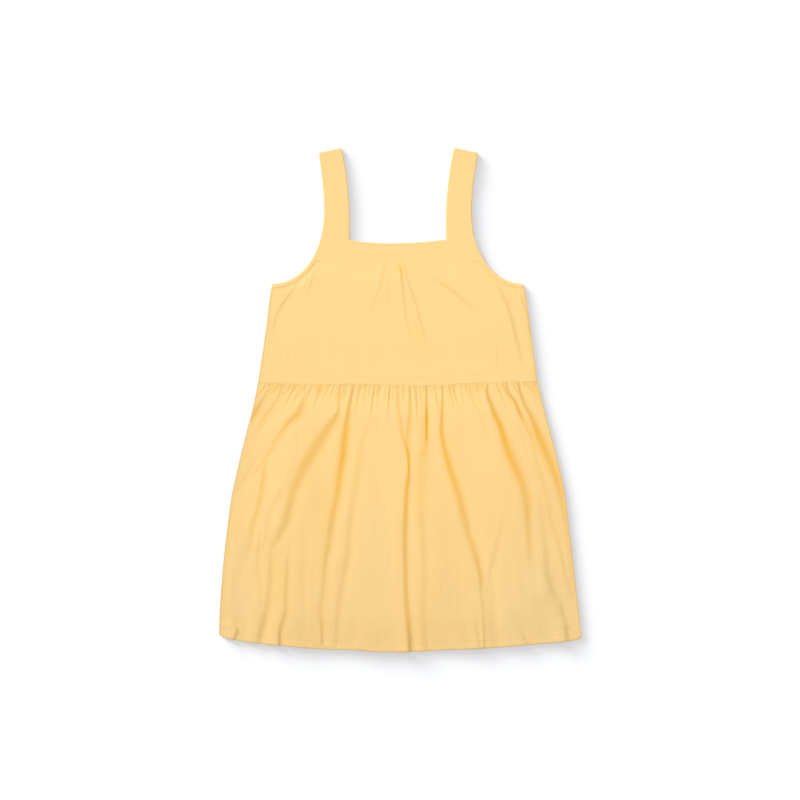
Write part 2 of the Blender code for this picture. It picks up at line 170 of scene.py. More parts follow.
# The cloth falls from left to right across a crease. The first number of each crease is how much painted
# shade, a deeper yellow, it gets, against how much it is only shaded by its relief. The route is (x, y, half
# width, strength).
Crease = namedtuple("Crease", "tint route")
SKIRT_CREASES = (
    Crease(1, (
        (-224, 23, 2.5, 0.2), (-240, 2, 3.5, 0.4), (-250, -14, 4.5, 0.8), (-258, -30, 4.5, 0.9),
        (-262, -38, 3.5, 0.4),
    )),
    Crease(0.8, (
        (-206, 26, 1.5, 0.7), (-216, 1, 2, 0.7), (-226, -14, 3.5, 0.55), (-235, -26, 4, 0.6),
        (-247, -49, 3.5, 0.3), (-254, -70, 3.5, 0),
    )),
    Crease(0.6, (
        (-189, 18, 1.5, 0.2), (-206, -5, 1.5, 0.35), (-224, -24, 1.5, 0.35), (-236, -40, 2, 0.3),
        (-248, -63, 2, 0),
    )),
    Crease(0.75, (
        (-165, 28, 1.5, 0.7), (-170, 0, 2.5, 0.7), (-174, -10, 6, 0.8), (-181, -25, 7, 1),
        (-196, -40, 6, 0.95), (-206, -54, 5.5, 0.75), (-216, -68, 6, 0.5), (-226, -88, 5.5, 0.45),
        (-240, -107, 3.5, 0.4), (-253, -125, 2, 0.45), (-261, -138, 2, 0),
    )),
    Crease(0.5, (
        (-236, -75, 2, 0), (-247, -93, 2, 0.35), (-257, -110, 2, 0.5), (-268, -130, 2, 0.6),
        (-282, -152, 2, 0.7), (-289, -163, 2, 0.5),
    )),
    Crease(0.35, (
        (-181, -44, 2.5, 0), (-181, -58, 3.5, 0.3), (-180, -82, 4, 0.35), (-186, -105, 4.5, 0.4),
        (-199, -140, 4.5, 0.45), (-216, -173, 5, 0.5), (-228, -194, 4.5, 0.5), (-233, -220, 4, 0.5),
        (-238, -251, 3.5, 0.45), (-242, -266, 2.5, 0),
    )),
    Crease(0.72, (
        (-105, 26, 1.5, 0.9), (-107, -2, 2, 1), (-110, -23, 3.5, 1.1), (-114, -30, 6, 1.05),
        (-122, -42, 9, 0.95), (-131, -55, 9.5, 0.9), (-144, -75, 11, 0.9), (-159, -100, 11, 0.85),
        (-170, -117, 11, 0.85), (-180, -140, 10.5, 0.8), (-188, -158, 9.5, 0.8), (-192, -177, 9, 0.85),
        (-198, -198, 9, 0.85), (-202, -216, 9, 0.8), (-210, -231, 8.5, 0.75), (-216, -244, 7.5, 0.65),
        (-224, -254, 6, 0.5), (-233, -262, 5, 0),
    )),
    Crease(1.1, (
        (-234, -98, 2.5, 0), (-237, -120, 4.5, 0.45), (-243, -158, 5, 0.5), (-249, -190, 5, 0.55),
        (-256, -210, 5, 0.55), (-263, -246, 5, 0.45), (-268, -283, 3.5, 0),
    )),
    Crease(1.1, (
        (-81, 26, 1.5, 0.9), (-86, 5, 2, 1.1), (-91, -20, 4, 1), (-95, -47, 6.5, 0.95),
        (-99, -78, 7.5, 1), (-102, -105, 8, 1), (-106, -128, 8, 0.9), (-109, -155, 7.5, 0.85),
        (-114, -183, 7.5, 0.8), (-118, -201, 7.5, 0.75), (-122, -226, 7, 0.75), (-126, -251, 6.5, 0.75),
        (-130, -276, 6, 0.65), (-133, -301, 5.5, 0.55), (-136, -341, 5, 0.5), (-140, -366, 5, 0.5),
        (-138, -391, 3.5, 0.75), (-136, -425, 2.5, 1),
    )),
    Crease(0.45, (
        (-61, -18, 2.5, 0), (-56, -35, 3.5, 0.3), (-64, -65, 5, 0.4), (-71, -94, 6.5, 0.45),
        (-75, -124, 8, 0.5), (-79, -155, 8, 0.55), (-85, -190, 8, 0.55), (-89, -210, 8, 0.55),
        (-91, -238, 8, 0.55), (-96, -289, 8, 0.55), (-103, -321, 7, 0.5), (-107, -356, 6, 0.45),
        (-111, -391, 5, 0.45), (-113, -429, 4.5, 0.5),
    )),
    Crease(0.3, (
        (-49, -14, 2.5, 0), (-43, -33, 4, 0.3), (-41, -65, 4, 0.35), (-44, -85, 3.5, 0.2),
        (-47, -98, 3.5, 0),
    )),
    Crease(1.12, (
        (-6, 24, 1.5, 0.5), (-4, -10, 2.5, 0.5), (0, -35, 4, 0.45), (4, -60, 5, 0.5), (10, -77, 5, 0.8),
        (13, -91, 3.5, 1.2), (15, -105, 2.5, 1.5), (15, -128, 3, 1.3), (12, -155, 5, 1.1),
        (10, -185, 5, 1.1), (9, -210, 5.5, 1.15), (8, -264, 5.5, 1.1), (9, -301, 5.5, 1),
        (10, -336, 5.5, 1), (12, -371, 6, 1.1), (15, -401, 6, 1.25), (18, -441, 6, 1.5),
    )),
    Crease(0.9, (
        (16, 24, 1.5, 0.9), (17, 0, 2, 1), (17, -21, 4, 0.6), (15, -40, 5, 0.6), (14, -56, 5, 0.65),
        (12, -74, 4, 0.4), (11, -88, 3.5, 0),
    )),
    Crease(1.6, (
        (46, 26, 1.5, 0.9), (46, 4, 1.5, 1.2), (46, -15, 2, 1.5), (46, -32, 2.5, 1.7),
        (46, -49, 2.5, 1.4), (46, -65, 3.5, 0.8), (44, -82, 6, 0.4), (38, -102, 9, 0.24),
        (36, -140, 10.5, 0.24), (36, -184, 9.5, 0.25), (38, -228, 8, 0.28), (40, -276, 7, 0.28),
        (41, -314, 6.5, 0.28), (40, -351, 6.5, 0.28), (40, -376, 7, 0.3), (42, -414, 7, 0.3),
        (44, -441, 7, 0.35),
    )),
    Crease(0.7, (
        (38, 4, 2.5, 0), (39, -21, 4.5, 0.35), (39, -52, 4.5, 0.4), (38, -79, 5, 0.3), (37, -96, 5, 0),
    )),
    Crease(1, (
        (74, 23, 1.5, 0.9), (74, 0, 2, 1.1), (73, -26, 3, 1.05), (72, -47, 4, 1), (75, -75, 5, 1),
        (81, -100, 5.5, 1), (89, -128, 6.5, 0.95), (97, -151, 7, 0.95), (105, -177, 7.5, 0.9),
        (112, -206, 8, 0.9), (119, -234, 7.5, 0.9), (128, -261, 7, 0.95), (136, -291, 6, 1.05),
        (141, -316, 5, 0.85), (141, -332, 3.5, 0.6), (145, -370, 3, 0.65), (147, -408, 3, 0.75),
        (148, -438, 3, 1),
    )),
    Crease(0.6, (
        (107, 24, 1.5, 0.4), (109, 9, 1.5, 0.6), (110, -3, 1.5, 0.5), (107, -21, 2, 0),
    )),
    Crease(0.5, (
        (119, 24, 1.5, 0.3), (125, 4, 2, 0.45), (138, -21, 3, 0.4), (145, -41, 3.5, 0.35),
        (156, -66, 3.5, 0.25), (163, -88, 3.5, 0),
    )),
    Crease(1.2, (
        (153, 28, 1.5, 0.9), (152, 16, 2, 1.1), (154, 5, 3, 1.2), (158, -5, 4, 1.1), (165, -24, 5, 1.1),
        (173, -41, 5.5, 1.15), (180, -62, 6.5, 1.05), (187, -85, 8.5, 0.95), (196, -108, 9, 0.85),
        (205, -128, 9.5, 0.8), (214, -151, 9, 0.75), (220, -174, 8.5, 0.7), (222, -201, 7.5, 0.65),
        (224, -229, 6.5, 0.55), (225, -256, 5.5, 0.5), (228, -283, 4.5, 0.35), (232, -299, 3.5, 0),
    )),
    Crease(1.1, (
        (186, 28, 1.5, 0.9), (191, 12, 2, 1.1), (201, -3, 2.5, 1.6), (207, -18, 3, 1.4),
        (217, -39, 4.5, 0.55), (227, -56, 5, 0.45), (234, -84, 5, 0.25), (238, -108, 5, 0.25),
        (250, -144, 5, 0.3), (260, -184, 4.5, 0.3), (262, -206, 4, 0.35), (271, -234, 4, 0.45),
        (279, -258, 3.5, 0.5), (285, -283, 3.5, 0.5), (290, -310, 3.5, 0.5), (298, -336, 3.5, 0.45),
        (308, -364, 3.5, 0),
    )),
    Crease(1.1, (
        (206, 32, 1.5, 1), (210, 15, 2, 1.3), (218, -8, 3, 1), (228, -26, 4.5, 1),
        (234, -41, 5.5, 1.05), (241, -59, 7.5, 1), (249, -80, 9, 0.9), (258, -100, 9, 0.85),
        (267, -121, 8.5, 0.8), (275, -144, 7.5, 0.8), (283, -177, 6, 0.7), (288, -206, 5, 0.65),
        (292, -231, 4.5, 0.5), (297, -280, 4, 0.4), (303, -332, 3.5, 0.3), (308, -376, 3.5, 0),
    )),
    Crease(0.3, (
        (200, -24, 2.5, 0), (204, -36, 3.5, 0.2), (214, -66, 3.5, 0.25), (225, -98, 4, 0.25),
        (240, -138, 4.5, 0.25), (247, -175, 4.5, 0.2), (250, -228, 6, 0.35), (255, -264, 8, 0.5),
        (257, -303, 9, 0.6), (264, -324, 8, 0.95), (274, -346, 9, 0.8), (283, -368, 9, 1),
        (288, -387, 8, 0.75), (292, -408, 8, 0.95), (294, -429, 8, 0.85),
    )),
    Crease(0.25, (
        (180, -192, 3.5, 0), (177, -217, 4.5, 0.35), (170, -248, 4.5, 0.4), (162, -280, 4.5, 0.45),
        (157, -310, 4.5, 0.45), (163, -332, 4, 0.35), (162, -365, 3.5, 0.2), (161, -388, 3.5, 0),
    )),
    Crease(0, (
        (138, -262, 9, 0), (145, -300, 12, 0.25), (150, -350, 13, 0.35), (156, -400, 13, 0.35),
        (160, -432, 13, 0.3),
    )),
    Crease(0.3, (
        (112, -280, 2, 0), (116, -294, 2, 0.35), (127, -316, 2, 0.35), (131, -329, 2, 0),
    )),
    Crease(0.25, (
        (124, -360, 3.5, 0), (129, -378, 4.5, 0.4), (136, -414, 4.5, 0.5), (139, -441, 4.5, 0.5),
    )),
    Crease(0.25, (
        (187, -360, 3.5, 0), (194, -374, 4, 0.5), (203, -392, 4, 0.7), (217, -415, 4, 0.8),
        (224, -430, 4, 0.8),
    )),
    Crease(0.2, (
        (252, -305, 2.5, 0), (259, -318, 3, 1), (267, -328, 3, 1.2), (276, -336, 2.5, 0),
    )),
    Crease(0.2, (
        (254, -333, 2.5, 0), (262, -344, 3, 1), (273, -353, 3, 1.1), (286, -361, 2.5, 0),
    )),
    Crease(0.2, (
        (287, -383, 2, 0), (296, -392, 2.5, 1), (304, -397, 2.5, 1.2), (312, -402, 2, 0),
    )),
    Crease(0.7, (
        (-245, -217, 2.5, 0), (-246, -234, 3, 0.35), (-249, -264, 3.5, 0.5), (-249, -296, 3.5, 0.4),
        (-246, -326, 3.5, 0.4), (-246, -356, 3.5, 0.35), (-248, -385, 3.5, 0),
    )),
    Crease(0.55, (
        (-225, -250, 3.5, 0), (-226, -271, 5, 0.45), (-228, -301, 6, 0.6), (-231, -341, 7.5, 0.65),
        (-236, -371, 8, 0.75), (-244, -401, 8, 0.7), (-249, -425, 8, 0.6),
    )),
    Crease(0.8, (
        (-197, -259, 2.5, 0), (-198, -284, 4, 0.55), (-199, -314, 4.5, 0.7), (-201, -341, 5, 0.75),
        (-200, -361, 5, 0.7), (-204, -381, 5, 0.75), (-210, -401, 4.5, 0.95), (-211, -434, 4, 1.6),
    )),
    Crease(0.4, (
        (-189, -206, 2.5, 0), (-191, -226, 2.5, 0.3), (-194, -264, 2.5, 0.3), (-196, -285, 2.5, 0),
    )),
    Crease(0.6, (
        (-173, -196, 3.5, 0), (-172, -228, 4, 0.22), (-170, -262, 4, 0.25), (-173, -313, 4.5, 0.25),
        (-169, -360, 4.5, 0.2), (-168, -394, 4.5, 0),
    )),
    Crease(0.4, (
        (-292, -382, 2.5, 0), (-290, -390, 4.5, 1), (-284, -401, 5, 1.5), (-289, -420, 5, 1.6),
    )),
    Crease(0.3, (
        (296, -364, 3.5, 0), (301, -385, 4.5, 0.5), (304, -410, 5, 0.8), (306, -429, 5, 0.7),
    )),
)
BODICE_CREASES = (
    Crease(1, (
        (-2, 237, 2, 0.6), (1, 228, 2.5, 0.75), (3, 210, 2.5, 0.6), (5, 196, 2, 0.5), (9, 153, 2, 0.45),
        (13, 131, 2, 0.3), (21, 102, 2, 0),
    )),
    Crease(0.8, (
        (9, 237, 1.5, 0.6), (11, 223, 2, 0.5), (19, 192, 2, 0.5), (30, 162, 2.5, 0.5),
        (37, 131, 2.5, 0.4), (46, 96, 2.5, 0.25), (52, 74, 2.5, 0),
    )),
    Crease(0.7, (
        (-27, 237, 1.5, 0.4), (-29, 224, 2.5, 0.35), (-35, 201, 2.5, 0.3), (-44, 175, 3, 0.25),
        (-56, 140, 3, 0),
    )),
    Crease(0.6, (
        (-23, 236, 1.5, 0.3), (-22, 219, 2, 0.25), (-21, 192, 2.5, 0.2), (-22, 158, 2.5, 0),
    )),
    Crease(0.6, (
        (-9, 236, 1.5, 0.5), (-10, 226, 1.5, 0.4), (-10, 210, 2, 0),
    )),
    Crease(0.6, (
        (16, 237, 1.5, 0.55), (19, 224, 1.5, 0.45), (25, 206, 2, 0),
    )),
    Crease(0.6, (
        (24, 237, 1.5, 0.5), (28, 222, 1.5, 0.35), (35, 203, 2, 0),
    )),
    Crease(0.7, (
        (-6, 237, 1, 0.5), (-6, 228, 1.5, 0.4), (-6, 219, 1.5, 0),
    )),
    Crease(0.7, (
        (5, 237, 1, 0.5), (5, 229, 1.5, 0.4), (6, 220, 1.5, 0),
    )),
    Crease(0.6, (
        (-16, 236, 1.5, 0.4), (-16, 224, 1.5, 0.3), (-17, 212, 1.5, 0),
    )),
    Crease(0.6, (
        (32, 236, 1.5, 0.35), (37, 224, 1.5, 0.25), (44, 210, 2, 0),
    )),
    Crease(0.8, (
        (44, 220, 2, 0), (63, 210, 3, 0.4), (84, 196, 3.5, 0.5), (102, 182, 4, 0.55),
        (116, 170, 4, 0.35), (136, 158, 4, 0),
    )),
    Crease(0.6, (
        (-180, 206, 2, 0.5), (-196, 182, 3, 0.7), (-210, 161, 3, 0.7), (-220, 136, 3, 0.5),
        (-224, 114, 3.5, 0),
    )),
    Crease(0.5, (
        (-148, 234, 2, 0.3), (-153, 214, 2.5, 0.55), (-161, 189, 2.5, 0.5), (-166, 164, 2.5, 0),
    )),
    Crease(0.4, (
        (-159, 220, 2, 0), (-166, 203, 2, 0.4), (-172, 182, 2, 0.4), (-175, 164, 2, 0),
    )),
    Crease(0.6, (
        (163, 210, 2.5, 0), (175, 192, 3, 0.5), (187, 168, 3.5, 0.65), (196, 140, 3.5, 0.65),
        (204, 105, 3.5, 0.6), (212, 77, 3, 0.5), (217, 54, 3, 0.4),
    )),
    Crease(0.6, (
        (205, 192, 2.5, 0), (212, 178, 2.5, 0.5), (220, 156, 2.5, 0.45), (226, 122, 2.5, 0.3),
        (229, 88, 2.5, 0),
    )),
    Crease(0.3, (
        (169, 96, 2, 0), (171, 74, 2, 0.5), (173, 54, 2, 0.5),
    )),
    Crease(0.3, (
        (-198, 94, 3.5, 0), (-196, 75, 3.5, 0.2), (-195, 56, 3.5, 0.2),
    )),
)
# Patches of painted shade (positive depth) or painted light (negative depth), where broad swells of the cloth
# are shaded or lit
Patch = namedtuple("Patch", "x y half_width half_height depth")
SKIRT_PATCHES = (
    Patch(88, -140, 35, 140, 0.05),
    Patch(-140, -184, 25, 80, 0.08),
    Patch(-214, -315, 11, 56, 0.10),
    Patch(-52, -280, 46, 150, -0.04),
    Patch(-280, -350, 32, 74, -0.08),
    Patch(242, -359, 74, 74, -0.17),
)
BODICE_PATCHES = (
    Patch(28, 110, 22, 60, 0.05),
    Patch(-36, 170, 20, 60, 0.03),
)
BACK_SKIRT_CREASES = (
    Crease(0.8, ((-180, 20, 5.6, 0.5), (-190, -40, 5.6, 1), (-208, -190, 5.6, 0.9), (-226, -436, 5.6, 1))),
    Crease(0.8, ((-130, 20, 4.8, 0.8), (-134, -30, 4.8, 1), (-146, -150, 4.8, 0))),
    Crease(0.8, ((-90, 20, 5.6, 0.5), (-93, -60, 5.6, 1), (-98, -220, 5.6, 0.8), (-111, -445, 5.6, 0.9))),
    Crease(0.8, ((-40, 20, 4.8, 0.8), (-42, -50, 4.8, 1), (-46, -180, 4.8, 0))),
    Crease(0.8, ((8, 20, 5.6, 0.5), (6, -70, 5.6, 1), (4, -230, 5.6, 0.9), (7, -445, 5.6, 1))),
    Crease(0.8, ((52, 20, 4.8, 0.8), (55, -40, 4.8, 1), (62, -170, 4.8, 0))),
    Crease(0.8, ((88, 20, 5.6, 0.5), (93, -60, 5.6, 1), (104, -220, 5.6, 0.9), (114, -445, 5.6, 1))),
    Crease(0.8, ((128, 20, 4.8, 0.8), (134, -40, 4.8, 1), (150, -160, 4.8, 0))),
    Crease(0.8, ((165, 20, 5.6, 0.5), (180, -50, 5.6, 1), (205, -200, 5.6, 0.9), (225, -436, 5.6, 1))),
)

# Short gathers under the waist seam: x at the seam, strength, length
WAIST_GATHERS = (
    (-226, 0.35, 28), (-195, 0.3, 24), (-184, 0.5, 32), (-175, 0.3, 28), (-154, 0.4, 26),
    (-138, 0.55, 26), (-126, 0.3, 24), (-116, 0.35, 20), (-97, 0.4, 22), (-70, 0.5, 36), (-60, 0.35, 24),
    (-45, 0.6, 40), (-37, 0.4, 24), (-18, 0.55, 42), (-12, 0.3, 22), (5, 0.3, 26), (27, 0.6, 52),
    (35, 0.35, 24), (61, 0.5, 34), (86, 0.5, 30), (93, 0.5, 28), (131, 0.4, 24),
    (144, 0.35, 22), (168, 0.45, 32), (177, 0.35, 24), (197, 0.35, 20), (221, 0.3, 24), (233, 0.4, 34),
)


# Curves and surfaces

def smooth_curve(points, samples=600):
    """A function through (position, value) points, smooth between them and level past the ends."""
    order = sorted(points)
    at = np.array([p[0] for p in order], float)
    value = np.array([p[1] for p in order], float)
    slope = np.gradient(value, at)
    dense = np.linspace(at[0], at[-1], samples)
    i = np.clip(np.searchsorted(at, dense, side="right") - 1, 0, len(at) - 2)
    step = at[i + 1] - at[i]
    t = (dense - at[i]) / step
    curve = (
        (1 + 2 * t) * (1 - t) ** 2 * value[i]
        + t * (1 - t) ** 2 * step * slope[i]
        + t * t * (3 - 2 * t) * value[i + 1]
        + t * t * (t - 1) * step * slope[i + 1]
    )
    return lambda q: np.interp(q, dense, curve)


def ease(share):
    """0 to 1 with a soft start and end."""
    share = np.clip(share, 0, 1)
    return share * share * (3 - 2 * share)


def mix(a, b, share):
    return a + (b - a) * share


def near(distance, reach):
    """1 at no distance, fading to almost nothing at twice the reach."""
    return np.exp(-((distance / reach) ** 2))


def soft_floor(z, level, softness):
    """z where it is well above the level, and never below it."""
    return level + softness * np.logaddexp(0, (z - level) / softness)


def rumple(x, y, size_x, size_y, seed):
    """Smooth random relief, about -1 to 1, with lumps of these sizes."""
    cells = 96
    lattice = np.random.default_rng(seed).uniform(-1, 1, (cells, cells))
    gx, gy = x / size_x + cells / 2, y / size_y + cells / 2
    ix, iy = np.floor(gx).astype(int), np.floor(gy).astype(int)
    fx, fy = ease(gx - ix), ease(gy - iy)

    def corner(dx, dy):
        return lattice[(iy + dy) % cells, (ix + dx) % cells]

    return mix(mix(corner(0, 0), corner(1, 0), fx), mix(corner(0, 1), corner(1, 1), fx), fy)


def crease_relief(x, y, creases):
    """How far creases lower the cloth, and how much painted shade they put into its colour."""
    fade = 6  # millimetres past the ends of a crease
    depth, tone = np.zeros_like(x), np.zeros_like(x)
    for crease in creases:
        place = smooth_curve([(p[1], p[0]) for p in crease.route])
        half = smooth_curve([(p[1], p[2]) for p in crease.route])
        strength = smooth_curve([(p[1], p[3]) for p in crease.route])
        low, high = min(p[1] for p in crease.route), max(p[1] for p in crease.route)
        inside = (y > low - fade) & (y < high + fade)
        if not inside.any():
            continue
        yi = np.clip(y[inside], low, high)
        slant = (place(yi + 1.5) - place(yi - 1.5)) / 3
        reach = half(yi)
        distance = (x[inside] - place(yi)) / np.sqrt(1 + slant * slant)
        across = distance / reach
        here = np.maximum(strength(yi), 0) * (1 - ease(np.abs(y[inside] - yi) / fade))
        crest = near(distance + 0.9 * reach, np.minimum(18, 5 * reach))
        furrow = near(distance - 0.9 * reach, np.minimum(11, 3.5 * reach))
        depth[inside] += here * reach * mix(-crest, furrow, ease((across + 0.9) / 1.8))
        mark = crease.tint * here * near(across, np.where(across < 0, 0.85, 1.1))
        tone[inside] = np.maximum(tone[inside], mark)
    return depth, tone


skirt_left = smooth_curve([(r.y, r.left) for r in SKIRT_SIDES])
skirt_right = smooth_curve([(r.y, r.right) for r in SKIRT_SIDES])
bodice_left = smooth_curve([(r.y, r.left) for r in BODICE_SIDES])
bodice_right = smooth_curve([(r.y, r.right) for r in BODICE_SIDES])
waist_seam = smooth_curve(WAIST_SEAM)
hem_edge = smooth_curve(HEM_EDGE)
neckline = smooth_curve(NECKLINE)


def waistband_top_seam(x):
    return waist_seam(x) + WAISTBAND_HEIGHT


def neckband_seam(x):
    return NECKBAND_SEAM_Y + NECKBAND_SEAM_RISE * ((x - CENTRE_X) / NECKBAND_SEAM_HALF) ** 2


def strap_seam(x):
    """Top edge of the neckband where a strap is sewn on."""
    (outer, outer_y), (inner, inner_y) = STRAP_OUTER_FOOT, STRAP_INNER_FOOT
    return mix(inner_y, outer_y, np.clip((np.abs(x - CENTRE_X) - inner) / (outer - inner), 0, 1))


def armhole(share, inset=0.0):
    """(half width, y) on the armhole's curve, or inset into the cloth from it."""
    def on_curve(at):
        a, b, c, d = (np.array(p) for p in ARMHOLE_CONTROLS)
        rest = 1 - at
        return a * rest**3 + b * 3 * rest**2 * at + c * 3 * rest * at**2 + d * at**3

    along = on_curve(share + 0.001) - on_curve(share - 0.001)
    along /= np.hypot(*along)
    return on_curve(share) + np.array((along[1], -along[0])) * inset


def armhole_start(inset, shares):
    """Which of these shares of the armhole's curve, at this inset, is nearest to the neckband's seam."""
    places = [armhole(share, inset) for share in shares]
    gaps = [abs(y - neckband_seam(half + CENTRE_X)) for half, y in places]
    return shares[int(np.argmin(gaps))]


def armhole_distance(x, y):
    """Distance of each point from the nearer armhole's edge."""
    half = np.abs(x - CENTRE_X)
    nearest = np.full(x.shape, 1e3)
    for share in np.linspace(0, 1, 70):
        edge_half, edge_y = armhole(share)
        nearest = np.minimum(nearest, np.hypot(half - edge_half, y - edge_y))
    return nearest


def gather_creases(seed):
    """The short gathers: those of the table, and finer ones between them. They fan out towards the sides."""
    rng = np.random.default_rng(seed)
    found = []

    def add(x, strength, length, width):
        seam = float(waist_seam(x))
        lean = 0.62 * (x - 4) / 245
        route = (
            (x, seam + 1, width, strength * 0.8),
            (x + lean * 3, seam - 4, width, strength),
            (x + lean * length * 0.6, seam - length * 0.6, width, strength * 0.7),
            (x + lean * length, seam - length, width, 0),
        )
        found.append(Crease(0.8, route))

    for x, strength, length in WAIST_GATHERS:
        add(x, strength * 1.3, 1.7 * length, 1.2)
    x = -240.0
    while x < 236:
        x += rng.uniform(3.0, 6.5)
        add(x, rng.uniform(0.3, 0.9), 7 + 45 * rng.uniform() ** 2.2, rng.uniform(0.9, 1.2))
    return found


FRONT_GATHERS = gather_creases(7)
BACK_GATHERS = gather_creases(19)


def painted_patch_shading(x, y, patches):
    tone = np.zeros_like(x)
    for patch in patches:
        tone = tone + patch.depth * near(x - patch.x, patch.half_width) * near(y - patch.y, patch.half_height)
    return tone


def groove(distance, depth, half_width):
    """The dent that a seam or a row of stitches pulls into cloth."""
    return depth * near(distance, half_width)


def rolled_edge(z, side):
    """Rounds the front down to the side seam."""
    return mix(z, SIDE_SEAM_TOP, (1 - np.clip(side / SIDE_ROLL, 0, 1)) ** 2)


def folded_edge(distance, drop, reach):
    """How far the cloth turns down towards an edge that is folded under."""
    turned = np.clip(distance / reach, 0, 1)
    return drop * (1 - np.sqrt(1 - (1 - turned) ** 2))


def left_edge_painted_shade(side_left):
    """Painted shade along the left edge of the cloth, over the seam's allowances."""
    return 0.85 * near(side_left, 2.6)


# Each face function below gives the height of a piece's outer face and two amounts of painted shade there: a
# deeper yellow for creases and a greyer yellow for seams, edges and gathers. For both, 0 is plain cloth and 1
# the most.

def front_skirt_top(x, y):
    drop = waist_seam(x) - y
    side_left, side_right = x - skirt_left(y), skirt_right(y) - x
    side = np.minimum(side_left, side_right)
    from_hem = y - hem_edge(x)
    from_stitches = from_hem - HEM_STITCH_ABOVE
    lower = ease((drop - 120) / 180)
    near_hem = ease((60 - from_hem) / 60)
    creases, marks = crease_relief(x, y, SKIRT_CREASES)
    gathers, gather_marks = crease_relief(x, y, FRONT_GATHERS)

    # The cloth swells below the gathers and flattens towards its sides and its hem.
    puff = (SKIRT_HEIGHT - FRONT_FLOOR) * mix(0.09, 1.0, ease(drop / 60)) * mix(1.0, 0.40, near_hem)
    puff = puff * mix(0.12, 1.0, ease(side / 110))
    lumps = 0.8 * rumple(x, y, 60, 110, 3) + 0.4 * rumple(x + 0.3 * y, y, 26, 60, 4)
    # It is crushed at both lower corners, the right one more.
    crushed = near(x - 262, 55) * near(y + 345, 75) + 0.5 * near(x + 285, 40) * near(y + 350, 60)
    crinkle = (0.05 + 0.13 * lower) * rumple(x, y, 13, 20, 5)
    crinkle = crinkle + (0.02 + 0.08 * lower) * rumple(x + 0.5 * y, y, 8, 10, 6)
    crinkle = crinkle + crushed * 0.6 * rumple(x + 0.35 * y, y, 11, 30, 8)
    crinkle = crinkle + crushed * 0.35 * rumple(x + 0.5 * y, y, 6, 15, 9)
    z = FRONT_FLOOR + puff + (lumps * ease(drop / 60) + crinkle * ease(drop / 20)) * ease(side / 20)

    # Creases are steeper lower down and steepest at the hem.
    slope = mix(mix(0.081, 0.171, lower), 0.27, ease((70 - from_hem) / 60))
    z = z - slope * creases * ease((side + 3) / 10) - 0.26 * gathers
    z = soft_floor(z, FRONT_FLOOR, 0.3)
    z = mix(SEAM_TOP, z, ease((drop + 0.6) / 2.6))
    pucker = 0.10 * np.sin(x * 0.83 + 2 * np.sin(x * 0.051)) * near(from_stitches, 6)
    z = z - groove(from_stitches, 0.2, 1.1) + pucker - folded_edge(from_hem, 0.6, 0.9)
    z = rolled_edge(z, side)

    # Painted shade: a deeper yellow in creases and gathers, under the waist seam and along the hem; broad
    # patches add painted shade or painted light.
    crease_painted_shade = mix(mix(0.60, 0.27, lower), 0.16, near_hem)
    tone = np.maximum(marks * crease_painted_shade, 0.8 * gather_marks)
    tone = tone + 0.04 * near(drop, 40) + 0.08 * near(from_hem, 4) + painted_patch_shading(x, y, SKIRT_PATCHES)
    # Painted shade, greyer: along the left edge, the waist seam and the hem's edge, in gathers, at the
    # creases' tops near the waist and in the crushed corners.
    dense = left_edge_painted_shade(side_left) + 0.2 * near(drop, 1.3) + 0.1 * near(from_hem, 1.6)
    dense = dense + 0.42 * gather_marks + 0.5 * np.clip(marks, 0, 1) * near(drop, 58)
    dense = dense + crushed * (0.2 * marks + 0.08)
    return z, tone, np.clip(dense, 0, 1)


def back_skirt_bottom(x, y):
    """The back lies on the ground between its creases."""
    drop = waist_seam(x) - y
    side = np.minimum(x - skirt_left(y), skirt_right(y) - x)
    from_hem = y - hem_edge(x)
    creases, marks = crease_relief(x, y, BACK_SKIRT_CREASES)
    gathers, gather_marks = crease_relief(x, y, BACK_GATHERS)
    z = np.clip(0.25 * creases + 0.2 * gathers, 0, BACK_TOP - CLOTH - 0.3)
    z = z * ease((side - 4) / 20) * mix(1, 0.45, ease((14 - from_hem) / 6))
    z = z + groove(from_hem - HEM_STITCH_ABOVE, 0.35, 1.1) + groove(drop, 0.5, 1.6)
    # Painted shade in the back's creases and gathers.
    tone = np.maximum(0.4 * marks, 0.5 * gather_marks)
    return z, np.clip(tone, 0, 1), np.clip(0.6 * gather_marks, 0, 1)


